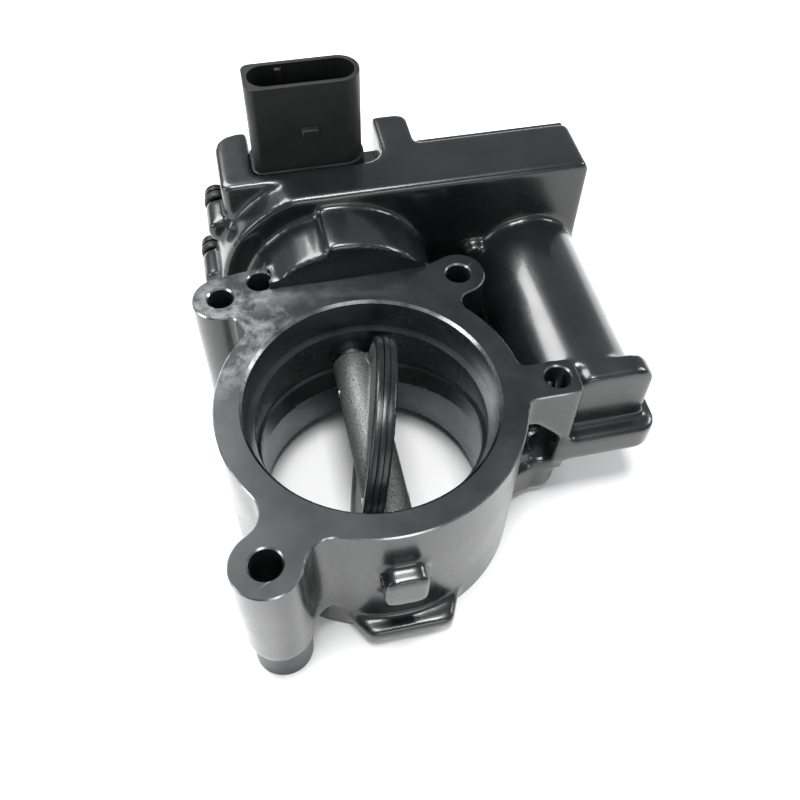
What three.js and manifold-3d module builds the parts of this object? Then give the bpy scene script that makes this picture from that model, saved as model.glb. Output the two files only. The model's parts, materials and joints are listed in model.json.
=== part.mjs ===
// Motorised throttle body: a cast housing with a flap in its bore, turned by a geared electric motor.
// Millimetres, +Z up along the bore. The part stands on its base, centred over the origin.
import * as THREE from "three";
import { mergeVertices } from "three/addons/utils/BufferGeometryUtils.js";
import Module from "manifold-3d";

const wasm = await Module();
wasm.setup();

const degrees = Math.PI / 180;
const point = (x, y) => new THREE.Vector2(x, y);

// ---------------------------------------------------------------------------
// Driving dimensions. X and Y are measured from the bore axis, Z from the base.
// ---------------------------------------------------------------------------
const gap = 0.3; // between pieces that touch
const runningClearance = 0.1; // round a shaft that turns in its bearing

// Bore and flange
const bodyHeight = 48.4;
const boreRadius = 29.2;
const lowerBoreRadius = boreRadius + 0.7;
const lowerBoreHeight = 20.4;
const spigotRecess = { radius: boreRadius + 3.8, depth: 3 }; // at the base, round the bore
const counterboreRadius = boreRadius + 2;
const counterboreDepth = 9.4;
const boreChamfer = 0.8;
const barrelWall = 9;
const barrelRadius = boreRadius + barrelWall;
const barrelRearFlat = 40.4; // the flange's straight rear edge

// Bolt lugs
const boltHoleRadius = 3.3;
const pillarHoleRadius = 3.75;
const pillar = { at: point(-30.6, -38.4), radius: 8.3, endRadius: 7.4, endHeight: 12, fillet: 6.5 };
const rearLeftLug = { at: point(-32.6, 39.6), radius: 7.5, bottom: 8, fillet: 3.6 };
const dowelLug = { at: point(-21.7, 43.7), radius: 4.9, bottom: 28 };
const rearRightLug = { at: point(31, 36.2), radius: 7.3, bottom: 24, fillet: 3.3 };
const earHole = point(46.4, -2.9);
const ear = {
  right: 51.7, front: -8.6, rear: 2.2, thickness: 6, webThickness: 3.2, webHeight: 24, corner: 1.6,
};
const earFoot = { bottom: 2.4, top: 14.4, bossRadius: 5.2, right: 51.7 };
const rootDepth = 8; // how far a web or boss runs into the wall it grows from
const frontTab = { front: 43.1, left: -9.2, right: 10.4, bottom: 2.4, top: 6.9, corner: 3, sideSlope: 20 };
const frontTabRoots = [point(19.5, -27), point(0, -20), point(-20, -25)]; // inside the barrel's wall
const frontTabHollow = { at: point(-17, -38.5), radius: 4.5 }; // between the tab and the pillar

// Shaft, flap and spring
const shaftHeight = 28.4;
const shaftRadius = 4;
const flapClearance = 1.4; // round the disc, for its spring ring
const flapRadius = boreRadius - flapClearance;
const flapRimThickness = 5.2;
const flapWebThickness = 3;
const flapRimWidth = 3.6;
const flapSkew = 13.2; // between the disc and its shaft, in degrees
const flapTravel = 88; // from fully open to closed, in degrees
const flapRest = 82; // how far short of closed the flap stands at rest, in degrees
const hubRadius = 5.8;
const hubHalfLength = boreRadius - 2.6;
const sealRing = { width: 1.2, depth: 1.2, split: 1 };
const seatClearance = 0.3;
const seatWidth = 7;
const frontBoss = { width: 11, height: 12.4, front: 43, bearingRadius: 5.4, bearingLength: 8 };
const rearBearing = { outerRadius: 8, innerRadius: 5.2, width: 6, face: 42 };
const shaftSeal = { radius: 7, width: 3 };
const spring = { radius: 11.5, wire: 1.6, turns: 4.5, pitch: 2.2 };
const springChamber = { radius: 16, depth: 9 };
const springBoss = { radius: 27.6, shortRadius: 25.2, stepAt: -3.5, riseAboveShaft: 4 };

// Gear case, behind the bore
const caseFront = 56;
const caseDepth = 19;
const caseWall = 2.6;
const caseFloor = 3;
const caseRound = { radius: 32.3, riseAboveShaft: 4 };
const blockSide = 0.07; // past the motor tube's side
const blockTop = 63.1;
const blockBottom = 5.4;
const blockCorner = 6;
const tower = { left: -28, right: 27.3, front: caseFront + 8.5, rear: caseFront + 32, floor: 52.6 };
const pocket = { left: -18.5, right: 17.3, front: caseFront + 12.9, floor: 58.2, corner: 5.5 };
const coverScrewRadius = 2;
const coverLugRadius = 3.7;
const coverLugLength = 11;

// Gear train
const pinionTeeth = 12;
const wheelTeeth = 58;
const firstModule = 0.8;
const smallTeeth = 16;
const sectorTeeth = 46;
const secondModule = 0.95;
const firstLegAngle = 10; // shaft to intermediate axle, in degrees above +X
const secondLegAngle = -8; // intermediate axle to motor
const backlash = 0.2; // share of a tooth's width that is taken off
const sectorLevel = { from: caseFront + 5, to: caseFront + 11 };
const wheelLevel = { from: caseFront + 13.6, to: caseFront + 17.2 };
const axleRadius = 2;

// Motor
const motorCanRadius = 13.6;
const motorWall = 2.3;
const motorCanLength = 51;
const canSetback = 1; // from the can's rear to the case's front face
const motorFront = caseFront - canSetback - motorCanLength - motorWall;
const motorShaftRadius = 1.5;
const canWall = 1.2;
const magnetThickness = 3;
const airGap = 0.5; // between magnets and armature
const magnetSpan = { from: 8, to: 40 }; // along the motor, from the can's front
const coreSpan = { from: 12, to: 36 };
const windingEnd = 40;
const commutatorSpan = { from: 41, to: 48 };
const brush = { offset: 7, halfWidth: 2.2, halfHeight: 1.6, from: 43, to: 47 };
const canNose = { radius: 5, bore: 3.6, length: 5 };
const endBlock = { front: -4, right: 73.5, top: 45.7 };
const endLedge = { front: -9.2, right: 77, rear: 24, top: 26.2, bottom: 17.2, corner: 5 };

const floorWebThickness = 5; // between barrel, motor tube and gear case
const floorWebLeft = 14;
const motorScrewBossLength = 3.4;

// Cover and connector
const coverFlange = 2.4;
const coverDepth = 11.7;
const coverWall = 2.2;
const shroud = {
  left: -18.1, right: 12, front: caseFront + 13.3, rear: caseFront + 24.9,
  top: 88.4, wall: 1.3, socketDepth: 23,
};
const shroudCollar = { rise: 2.6, overhang: 0.8 };
const terminalCount = 5;
const board = { left: -13, right: 17, below: 12, above: 8, thickness: 1.4, standoff: 2.2 };
const chip = { half: 4, thickness: 1.5 };
const terminal = { width: 1.4, thickness: 0.6, pitch: 4.6, exposed: 9 };

// ---------------------------------------------------------------------------
// Places that follow from the dimensions above
// ---------------------------------------------------------------------------
const caseRear = caseFront + caseDepth;
const caseFloorRear = caseFront + caseFloor;
const coverFront = caseRear + gap;
const coverRear = coverFront + coverDepth;
const polar = (length, angle) => point(
  length * Math.cos(angle * degrees),
  length * Math.sin(angle * degrees),
);
const shaftAxis = point(0, shaftHeight);
const secondCentres = (secondModule * (sectorTeeth + smallTeeth)) / 2;
const firstCentres = (firstModule * (wheelTeeth + pinionTeeth)) / 2;
const axleAxis = shaftAxis.clone().add(polar(secondCentres, firstLegAngle));
const motorAxis = axleAxis.clone().add(polar(firstCentres, secondLegAngle));
const motorHousingRadius = motorCanRadius + gap + motorWall;
const blockRight = motorAxis.x + motorHousingRadius + blockSide;
const caseCentre = point(0, shaftHeight + caseRound.riseAboveShaft);
const springCentre = point(0, shaftHeight + springBoss.riseAboveShaft);

// ---------------------------------------------------------------------------
// Solids
// ---------------------------------------------------------------------------
function solid(geometry) {
  const bare = geometry.clone();
  bare.deleteAttribute("normal");
  bare.deleteAttribute("uv");
  const merged = mergeVertices(bare, 1e-4);
  const vertProperties = merged.attributes.position.array;
  const triVerts = new Uint32Array(merged.index.array);
  return new wasm.Manifold(new wasm.Mesh({ numProp: 3, vertProperties, triVerts }));
}

function geometryOf(body) {
  const mesh = body.getMesh();
  const geometry = new THREE.BufferGeometry();
  geometry.setAttribute("position", new THREE.BufferAttribute(mesh.vertProperties, 3));
  geometry.setIndex(new THREE.BufferAttribute(mesh.triVerts, 1));
  const faceted = geometry.toNonIndexed();
  faceted.computeVertexNormals();
  return faceted;
}

const join = (...bodies) => bodies.reduce((whole, body) => whole.add(body));
const cut = (body, ...tools) => tools.reduce((rest, tool) => rest.subtract(tool), body);

// A block between two corners.
function block(x, y, z) {
  const geometry = new THREE.BoxGeometry(x[1] - x[0], y[1] - y[0], z[1] - z[0]);
  geometry.translate((x[0] + x[1]) / 2, (y[0] + y[1]) / 2, (z[0] + z[1]) / 2);
  return solid(geometry);
}

// A round bar along Z, standing at a point of the XY plane.
function upright(at, radius, bottom, top, sides = 24) {
  const geometry = new THREE.CylinderGeometry(radius, radius, top - bottom, sides);
  geometry.rotateX(90 * degrees);
  geometry.translate(at.x, at.y, (bottom + top) / 2);
  return solid(geometry);
}

// A round bar along Y, about a point of the XZ plane.
function lying(at, radius, front, rear, sides = 24) {
  const geometry = new THREE.CylinderGeometry(radius, radius, rear - front, sides);
  geometry.translate(at.x, (front + rear) / 2, at.y);
  return solid(geometry);
}

// A flat outline in XY, raised along Z.
function raised(shape, bottom, top, curveSegments = 3) {
  const geometry = new THREE.ExtrudeGeometry(
    shape,
    { depth: top - bottom, bevelEnabled: false, curveSegments },
  );
  geometry.translate(0, 0, bottom);
  return solid(geometry);
}

// A flat outline in XZ, drawn out along Y.
function drawn(shape, front, rear, curveSegments = 3) {
  const geometry = new THREE.ExtrudeGeometry(
    shape,
    { depth: rear - front, bevelEnabled: false, curveSegments },
  );
  geometry.rotateX(90 * degrees);
  geometry.translate(0, rear, 0);
  return solid(geometry);
}

// A turned solid on the Z axis from a profile of [radius, height] that starts and ends on the axis.
function turned(profile, sides) {
  const geometry = new THREE.LatheGeometry(profile.map(([r, h]) => point(r, h)), sides);
  geometry.rotateX(90 * degrees);
  return solid(geometry);
}

// A rectangle with its own radius at each corner, from the lower left one anticlockwise.
function roundedRectangle(left, bottom, right, top, radii) {
  const [a, b, c, d] = Array.isArray(radii) ? radii : [radii, radii, radii, radii];
  const shape = new THREE.Shape();
  shape.absarc(left + a, bottom + a, a, 180 * degrees, 270 * degrees, false);
  shape.absarc(right - b, bottom + b, b, 270 * degrees, 360 * degrees, false);
  shape.absarc(right - c, top - c, c, 0, 90 * degrees, false);
  shape.absarc(left + d, top - d, d, 90 * degrees, 180 * degrees, false);
  return shape;
}

// The hollow corner between two round bosses, filled out to a concave fillet on one side.
function filletShape(from, fromRadius, to, toRadius, fillet, side) {
  const distance = from.distanceTo(to);
  const reach = fromRadius + fillet;
  const along = (distance ** 2 + reach ** 2 - (toRadius + fillet) ** 2) / (2 * distance);
  const across = side * Math.sqrt(Math.max(0, reach ** 2 - along ** 2));
  const heading = to.clone().sub(from).normalize();
  const centre = from.clone().addScaledVector(heading, along).addScaledVector(
    point(-heading.y, heading.x),
    across,
  );
  const angleTo = (target) => Math.atan2(target.y - centre.y, target.x - centre.x);
  const shape = new THREE.Shape();
  shape.absarc(centre.x, centre.y, fillet, angleTo(from), angleTo(to), side < 0);
  shape.lineTo(to.x, to.y);
  shape.lineTo(from.x, from.y);
  return shape;
}

// The web between two round bosses, with its sides tangent to both.
function tangentWeb(a, aRadius, b, bRadius) {
  const heading = Math.atan2(b.y - a.y, b.x - a.x);
  const lean = Math.acos((aRadius - bRadius) / a.distanceTo(b));
  const on = (centre, radius, angle) => point(
    centre.x + radius * Math.cos(angle),
    centre.y + radius * Math.sin(angle),
  );
  return new THREE.Shape([
    on(a, aRadius, heading + lean),
    on(a, aRadius, heading - lean),
    on(b, bRadius, heading - lean),
    on(b, bRadius, heading + lean),
  ]);
}

// Turns a solid about an axis through a point, by degrees.
function swing(body, axis, at, angle) {
  const geometry = geometryOf(body);
  geometry.translate(-at.x, -at.y, -at.z);
  geometry.applyMatrix4(new THREE.Matrix4().makeRotationAxis(axis, angle * degrees));
  geometry.translate(at.x, at.y, at.z);
  return solid(geometry);
}

// ---------------------------------------------------------------------------
// The assembly
// ---------------------------------------------------------------------------
const assembly = new THREE.Group();
const finishes = {
  casting: { color: 0x2b2e31, roughness: 0.28, metalness: 0.85 },
  flapCasting: { color: 0x8e928f, roughness: 0.6, metalness: 0.8 },
  steel: { color: 0xb4b6b8, roughness: 0.3, metalness: 1 },
  darkSteel: { color: 0x4a4c4f, roughness: 0.4, metalness: 1 },
  blackPlastic: { color: 0x17191b, roughness: 0.5, metalness: 0 },
  gearPlastic: { color: 0xd9d4c4, roughness: 0.5, metalness: 0 },
  rubber: { color: 0x101010, roughness: 0.8, metalness: 0 },
  brass: { color: 0xb89a55, roughness: 0.35, metalness: 1 },
  copper: { color: 0xb0643a, roughness: 0.4, metalness: 1 },
  magnet: { color: 0x3a3a3c, roughness: 0.6, metalness: 0.3 },
  board: { color: 0x1f5a36, roughness: 0.6, metalness: 0 },
};
const materials = Object.fromEntries(
  Object.entries(finishes).map(([name, look]) => [name, new THREE.MeshStandardMaterial(look)]),
);

function add(name, body, finish) {
  const mesh = new THREE.Mesh(geometryOf(body), materials[finish]);
  mesh.name = name;
  assembly.add(mesh);
}

// ---------------------------------------------------------------------------
// Main housing
// ---------------------------------------------------------------------------
const boreAxis = point(0, 0);
const boreSides = 48;

// A bolt lug that stands beside the barrel and blends into it.
function lug({ at, radius, bottom = 0, fillet }, sides = [1, -1]) {
  const webs = sides.map((side) =>
    raised(filletShape(boreAxis, barrelRadius, at, radius, fillet, side), bottom, bodyHeight),
  );
  return join(upright(at, radius, bottom, bodyHeight), ...webs);
}

function boltLugs() {
  const dowelWeb = raised(
    tangentWeb(rearLeftLug.at, rearLeftLug.radius, dowelLug.at, dowelLug.radius),
    dowelLug.bottom,
    bodyHeight,
  );
  const dowelRoot = raised(
    new THREE.Shape([
      dowelLug.at,
      rearLeftLug.at,
      point(rearLeftLug.at.x + rearLeftLug.radius, rearLeftLug.at.y - 20),
      point(0, barrelRadius - rootDepth),
      point(dowelLug.at.x + dowelLug.radius + 1, barrelRearFlat),
      point(dowelLug.at.x + dowelLug.radius, dowelLug.at.y),
    ]),
    dowelLug.bottom,
    bodyHeight,
  );
  const rightRoot = raised(
    new THREE.Shape([
      point(rearRightLug.at.x, rearRightLug.at.y),
      point(rearRightLug.at.x - 1.5, rearRightLug.at.y + rearRightLug.radius - 0.2),
      point(rearRightLug.at.x - 9, barrelRearFlat),
      point(0.5 * rearRightLug.at.x, 0.4 * rearRightLug.at.y),
    ]),
    rearRightLug.bottom,
    bodyHeight,
  );
  return join(
    lug(rearLeftLug),
    upright(dowelLug.at, dowelLug.radius, dowelLug.bottom, bodyHeight),
    dowelWeb,
    dowelRoot,
    lug(rearRightLug, [-1]),
    rightRoot,
  );
}

function pillarSolid() {
  const machinedEnd = upright(pillar.at, pillar.endRadius, 0, pillar.endHeight);
  return join(lug({ ...pillar, bottom: pillar.endHeight }), machinedEnd);
}

// The squared ear on the right, its front web, and the foot that takes the same bolt at the base.
function earSolid() {
  const top = raised(
    roundedRectangle(barrelRadius - rootDepth, ear.front, ear.right, ear.rear, [1, ear.corner, 1, 1]),
    bodyHeight - ear.thickness,
    bodyHeight,
  );
  const webShape = new THREE.Shape([
    point(barrelRadius - 6, bodyHeight - 1),
    point(barrelRadius - 6, bodyHeight - 0.45 * ear.webHeight),
    point(earHole.x - 5, bodyHeight - 0.5 * ear.webHeight),
    point(ear.right, bodyHeight - ear.webHeight),
    point(ear.right, bodyHeight - 1),
  ]);
  const web = drawn(webShape, ear.front, ear.front + ear.webThickness);
  const sideWeb = block(
    [ear.right - ear.webThickness, ear.right],
    [ear.front, ear.rear],
    [earFoot.top - 2, bodyHeight - 1],
  );
  const footOutline = new THREE.Shape([
    point(barrelRadius - 10, -14),
    point(barrelRadius + 0.7, -9.2),
    point(earFoot.right, -5),
    point(earFoot.right, 4),
    point(barrelRadius - rootDepth, 8),
  ]);
  const foot = raised(footOutline, earFoot.bottom, earFoot.top);
  const boss = upright(earHole, earFoot.bossRadius, earFoot.bottom, earFoot.top + 2, 24);
  return join(top, web, sideWeb, foot, boss);
}

function frontTabSolid() {
  const outline = new THREE.Shape();
  const { corner, sideSlope } = frontTab;
  const cornerY = corner - frontTab.front;
  const down = 270 * degrees;
  outline.absarc(frontTab.left + 2, cornerY, corner, (180 + sideSlope) * degrees, down, false);
  outline.absarc(frontTab.right, cornerY, corner, down, (370 - sideSlope) * degrees, false);
  frontTabRoots.forEach((root) => outline.lineTo(root.x, root.y));
  const { at, radius } = frontTabHollow;
  outline.absarc(at.x, at.y, radius, (90 + sideSlope) * degrees, sideSlope * degrees, true);
  return raised(outline, frontTab.bottom, frontTab.top);
}

// The boss round the shaft's front end, square with rounded corners.
function frontBossSolid() {
  const half = frontBoss.width / 2;
  const low = shaftHeight - frontBoss.height / 2;
  const shape = roundedRectangle(-half, low, half, low + frontBoss.height, 2.6);
  return drawn(shape, -frontBoss.front, -boreRadius - 4);
}

// The round boss that holds the spring and the rear bearing, stepped on its left side. Under the flange it
// runs on forward into the barrel.
function springBossSolid() {
  const { radius, shortRadius, stepAt } = springBoss;
  const flangeLevel = block([-radius - 1, radius + 1], [0, caseFront + 2], [-radius, bodyHeight]);
  const full = lying(springCentre, radius, boreRadius - rootDepth, caseFront + 1, 40);
  const narrow = lying(springCentre, shortRadius, boreRadius - rootDepth, caseFront + 1, 40);
  const leftSide = block([-radius - 1, stepAt], [0, caseFront + 2], [-radius, springCentre.y + radius + 1]);
  const stepped = join(cut(full, leftSide), narrow);
  const aboveFlange = block(
    [-radius - 1, radius + 1],
    [barrelRearFlat, caseFront + 2],
    [bodyHeight - 1, 2 * bodyHeight],
  );
  return join(stepped.intersect(flangeLevel), stepped.intersect(aboveFlange));
}

const blockOutline = (inset) =>
  roundedRectangle(0, blockBottom + inset, blockRight - inset, blockTop - inset, [
    1,
    Math.max(1, blockCorner - inset),
    Math.max(1, 3 - inset),
    1,
  ]);

// The gear case's outline, less an inset for its wall.
function caseOutline(front, rear, inset) {
  const round = lying(caseCentre, caseRound.radius - inset, front, rear, 48);
  const limit = block(
    [-2 * caseRound.radius, blockRight + 1],
    [front - 1, rear + 1],
    [inset, blockTop - inset],
  );
  return join(round.intersect(limit), drawn(blockOutline(inset), front, rear));
}

// Screw places round the cover: four on the round side and base, two in the block's corners.
const lugReach = caseRound.radius + 1.5;
const cornerScrewInset = caseWall + 1.4;
const coverScrews = [
  point(blockRight - cornerScrewInset, blockTop - 13),
  point(blockRight - cornerScrewInset, blockBottom + cornerScrewInset + 0.4),
  point(0.42 * blockRight, blockBottom + 0.4),
  caseCentre.clone().add(polar(lugReach, 225)),
  caseCentre.clone().add(polar(lugReach, 185)),
  caseCentre.clone().add(polar(lugReach, 152)),
];

function gearCase() {
  const lugs = coverScrews.map((at) => lying(at, coverLugRadius, caseRear - coverLugLength, caseRear, 16));
  const shell = join(caseOutline(caseFront, caseRear, 0), ...lugs);
  const towerOutline = roundedRectangle(tower.left, tower.front, tower.right, tower.rear, [2, 1, 2.5, 6]);
  const prongs = raised(towerOutline, tower.floor, blockTop);
  const cavity = caseOutline(caseFloorRear, caseRear + 1, caseWall);
  const keepTower = block(
    [tower.left - 1, tower.right],
    [tower.front - 1, caseRear + 2],
    [tower.floor, blockTop + 1],
  );
  const wheelRoom = lying(axleAxis, tipRadius(wheelTeeth, firstModule) + 1, caseFloorRear, caseRear, 32);
  const room = join(cut(cavity, keepTower), wheelRoom);
  const hollow = cut(
    room,
    ...coverScrews.slice(0, 2).map((at) =>
      lying(at, coverLugRadius, caseRear - coverLugLength, caseRear + 2, 16),
    ),
  );
  const pocketOutline = roundedRectangle(
    pocket.left,
    pocket.front,
    pocket.right,
    tower.rear + 1,
    [1, pocket.corner, 0.1, 0.1],
  );
  const pocketCut = join(
    raised(pocketOutline, pocket.floor, blockTop + 1),
    block([pocket.left, pocket.right], [caseRear, tower.rear + 1], [tower.floor - 1, blockTop + 1]),
  );
  return cut(join(shell, prongs), hollow, pocketCut);
}

// The motor's tube, its squared front end over a ledge, and the floor web beside the barrel.
function motorHousing() {
  const tube = lying(motorAxis, motorHousingRadius, motorFront, caseFront + 1, 40);
  const left = motorAxis.x - motorHousingRadius;
  const faceLeft = left + 0.75 * motorHousingRadius;
  const face = drawn(
    roundedRectangle(faceLeft, endLedge.bottom, endBlock.right, endBlock.top, [1, 3, 5.5, 4]),
    endBlock.front,
    motorFront + 1,
  );
  const ledge = raised(
    roundedRectangle(
      ear.right - 4,
      endLedge.front,
      endLedge.right,
      endLedge.rear,
      [1, endLedge.corner, endLedge.corner, 1],
    ),
    endLedge.bottom,
    endLedge.top,
  );
  const screwBosses = motorScrewAxes.map((at) =>
    lying(at, motorScrewRadius + 2, caseFront - motorScrewBossLength, caseFront + 1, 16),
  );
  const webBottom = motorAxis.y - motorHousingRadius;
  const floorWeb = raised(
    new THREE.Shape([
      point(floorWebLeft, boreRadius),
      point(boreRadius, ear.front),
      point(motorAxis.x, endBlock.front + 2),
      point(motorAxis.x, caseFront + 1),
      point(floorWebLeft, caseFront + 1),
    ]),
    webBottom,
    webBottom + floorWebThickness,
  );
  return join(tube, face, ledge, floorWeb, ...screwBosses);
}

function boreCut() {
  const top = bodyHeight;
  return turned([
    [0, -1],
    [spigotRecess.radius, -1],
    [spigotRecess.radius, spigotRecess.depth],
    [lowerBoreRadius + boreChamfer, spigotRecess.depth],
    [lowerBoreRadius, spigotRecess.depth + boreChamfer],
    [lowerBoreRadius, lowerBoreHeight],
    [boreRadius, lowerBoreHeight + boreChamfer],
    [boreRadius, top - counterboreDepth],
    [counterboreRadius, top - counterboreDepth],
    [counterboreRadius, top - boreChamfer],
    [counterboreRadius + boreChamfer, top],
    [counterboreRadius + boreChamfer, top + 1],
    [0, top + 1],
  ], boreSides);
}

const flapCentre = new THREE.Vector3(0, 0, shaftHeight);
const xAxis = new THREE.Vector3(1, 0, 0);
const yAxis = new THREE.Vector3(0, 1, 0);

// A solid made about the Z axis at height zero, laid in the closed flap's plane.
const inFlapPlane = (body) => {
  const geometry = geometryOf(body);
  geometry.rotateX(-flapSkew * degrees);
  geometry.translate(flapCentre.x, flapCentre.y, flapCentre.z);
  return solid(geometry);
};
const ringOuterRadius = flapRadius + gap;

// The thin skewed seat that the closed flap's ring runs into.
function flapSeat() {
  const band = upright(boreAxis, barrelRadius, -seatWidth / 2, seatWidth / 2, boreSides);
  const opening = upright(boreAxis, ringOuterRadius + seatClearance, -seatWidth, seatWidth, boreSides);
  const wall = upright(boreAxis, boreRadius + 0.5, 0.5, bodyHeight - counterboreDepth - 0.5, boreSides);
  return inFlapPlane(cut(band, opening)).intersect(wall);
}

function mainHousing() {
  const barrel = upright(boreAxis, barrelRadius, 0, bodyHeight, boreSides);
  const casting = join(
    barrel,
    pillarSolid(),
    boltLugs(),
    frontTabSolid(),
    frontBossSolid(),
    springBossSolid(),
    gearCase(),
    motorHousing(),
    earSolid(),
  );
  const holes = [
    upright(pillar.at, pillarHoleRadius, -1, bodyHeight + 1, 24),
    ...[rearLeftLug.at, dowelLug.at, rearRightLug.at, earHole].map((at) =>
      upright(at, boltHoleRadius, -1, bodyHeight + 1, 20),
    ),
  ];
  const motorBore = lying(motorAxis, motorCanRadius + gap, motorFront + motorWall, caseFloorRear + 1, 40);
  const chamber = lying(
    shaftAxis,
    springChamber.radius,
    caseFloorRear - springChamber.depth,
    caseFloorRear + 1,
    32,
  );
  const bearingPocket = lying(shaftAxis, rearBearing.outerRadius + gap, rearBearing.face, caseFloorRear, 28);
  const sealPocket = lying(
    shaftAxis,
    shaftSeal.radius + gap,
    rearBearing.face - shaftSeal.width - 2 * gap,
    rearBearing.face + 1,
    28,
  );
  const shaftWay = lying(shaftAxis, shaftRadius + gap, 0, caseFloorRear);
  const frontPocket = lying(shaftAxis, frontBoss.bearingRadius + gap, -frontBearingFront - gap, 0);
  const axleHole = lying(axleAxis, axleRadius + gap, caseFront + 1, caseFloorRear + 4, 16);
  const axleBoss = lying(axleAxis, axleRadius + 2.4, caseFront + 0.5, caseFloorRear + 1.4, 20);
  const screwHoles = coverScrews.map((at) =>
    lying(at, coverScrewRadius + gap, caseRear - coverLugLength + 1.5, caseRear + 1, 12),
  );
  const motorScrewHoles = motorScrewAxes.map((at) =>
    lying(at, motorScrewRadius + gap, caseFront - 2, caseFloorRear + 1, 12),
  );
  const bored = cut(casting, boreCut(), ...holes, motorBore, chamber);
  const lined = join(bored, flapSeat(), axleBoss);
  return cut(
    lined,
    bearingPocket,
    sealPocket,
    shaftWay,
    frontPocket,
    axleHole,
    ...screwHoles,
    ...motorScrewHoles,
  );
}

// ---------------------------------------------------------------------------
// Gears
// ---------------------------------------------------------------------------
function tipRadius(teeth, module) {
  return (module * teeth) / 2 + 0.85 * module;
}

// A spur gear's outline about the origin, with one tooth centred at `phase`, and only the teeth whose
// centres lie within `span` degrees on from it; the rest of the rim stays at the root.
function gearOutline(teeth, module, phase, span = 360, rimRadius = null) {
  const fine = teeth < 20;
  const pressure = 20 * degrees;
  const pitchRadius = (module * teeth) / 2;
  const baseRadius = pitchRadius * Math.cos(pressure);
  const outer = tipRadius(teeth, module);
  const root = pitchRadius - 1.15 * module;
  const involute = (radius) => {
    const ratio = Math.min(1, baseRadius / radius);
    return Math.tan(Math.acos(ratio)) - Math.acos(ratio);
  };
  const halfTooth = (Math.PI / (2 * teeth)) * (1 - backlash);
  const halfAt = (radius) => halfTooth + involute(pitchRadius) - involute(Math.max(radius, baseRadius));
  const start = Math.max(root + 0.05 * module, baseRadius);
  const middle = teeth < 50 ? [pitchRadius] : [];
  const radii = fine ? [root, start, pitchRadius, outer] : [root, ...middle, outer];
  const count = Math.min(teeth, Math.floor(span / (360 / teeth)) + (span < 360 ? 1 : 0));
  const points = [];
  for (let tooth = 0; tooth < count; tooth += 1) {
    const centre = phase * degrees + (2 * Math.PI * tooth) / teeth;
    const flank = (radius, side) => {
      const angle = centre + side * halfAt(radius);
      points.push(point(radius * Math.cos(angle), radius * Math.sin(angle)));
    };
    radii.forEach((radius) => flank(radius, -1));
    radii.slice().reverse().forEach((radius) => flank(radius, 1));
  }
  if (count < teeth) {
    const first = phase * degrees - Math.PI / teeth;
    const last = phase * degrees + (2 * Math.PI * (count - 0.5)) / teeth;
    const plain = rimRadius ?? root;
    const steps = 12;
    for (let step = 0; step <= steps; step += 1) {
      const angle = last + ((first + 2 * Math.PI - last) * step) / steps;
      points.push(point(plain * Math.cos(angle), plain * Math.sin(angle)));
    }
  }
  return new THREE.Shape(points);
}

function gear(axis, outline, level) {
  const body = drawn(outline, level.from, level.to);
  const geometry = geometryOf(body);
  geometry.translate(axis.x, 0, axis.y);
  return solid(geometry);
}

// Tooth phases that put a tooth of one gear in a gap of the other, on their line of centres.
// The sector starts a few teeth before the mesh at rest.
const sectorLead = Math.ceil((flapTravel - flapRest) / (360 / sectorTeeth)) + 1;
const sectorPhase = firstLegAngle - (360 / sectorTeeth) * sectorLead;
const smallPhase = firstLegAngle + 180 + 180 / smallTeeth;
const wheelPhase = secondLegAngle;
const pinionPhase = secondLegAngle + 180 + 180 / pinionTeeth;
const sectorSpan = flapRest + (sectorLead + 1) * (360 / sectorTeeth);
const sectorHub = { radius: 9, front: 1.2, rear: 1.5 }; // front and rear: how far it stands past the teeth

function throttleGear() {
  const teeth = gear(
    shaftAxis,
    gearOutline(sectorTeeth, secondModule, sectorPhase, sectorSpan, sectorHub.radius),
    sectorLevel,
  );
  const hub = lying(
    shaftAxis,
    sectorHub.radius,
    sectorLevel.from - sectorHub.front,
    sectorLevel.to + sectorHub.rear,
    28,
  );
  const magnetSeat = lying(shaftAxis, positionMagnetRadius + gap, sectorLevel.to - 1, sectorLevel.to + 2, 20);
  const lightening = new THREE.Shape();
  const middle = (sectorPhase + sectorSpan / 2) * degrees;
  lightening.absarc(0, 0, sectorHub.radius + 7, middle - 0.55, middle + 0.55, false);
  lightening.absarc(0, 0, sectorHub.radius + 2.5, middle + 0.5, middle - 0.5, true);
  return cut(
    join(teeth, hub),
    magnetSeat,
    lying(shaftAxis, shaftRadius + gap, sectorLevel.from - 3, sectorLevel.to - 2, 20),
    gear(shaftAxis, lightening, { from: sectorLevel.from - 1, to: sectorLevel.to + 1 }),
  );
}

function intermediateGear() {
  const wheel = gear(axleAxis, gearOutline(wheelTeeth, firstModule, wheelPhase), wheelLevel);
  const small = gear(axleAxis, gearOutline(smallTeeth, secondModule, smallPhase), {
    from: sectorLevel.from,
    to: wheelLevel.from + 1,
  });
  const recess = cut(
    lying(axleAxis, (firstModule * wheelTeeth) / 2 - 3.4, wheelLevel.to - 1.2, wheelLevel.to + 1, 36),
    lying(axleAxis, axleRadius + 2.6, wheelLevel.to - 2, wheelLevel.to + 2, 20),
  );
  const bore = lying(axleAxis, axleRadius + runningClearance, sectorLevel.from - 1, wheelLevel.to + 1, 16);
  return cut(join(wheel, small), recess, bore);
}

function motorPinion() {
  const teeth = gear(motorAxis, gearOutline(pinionTeeth, firstModule, pinionPhase), {
    from: wheelLevel.from - 1,
    to: wheelLevel.to + 0.6,
  });
  return cut(teeth, lying(motorAxis, motorShaftRadius + gap, caseFront, caseRear + 2, 20));
}

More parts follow.
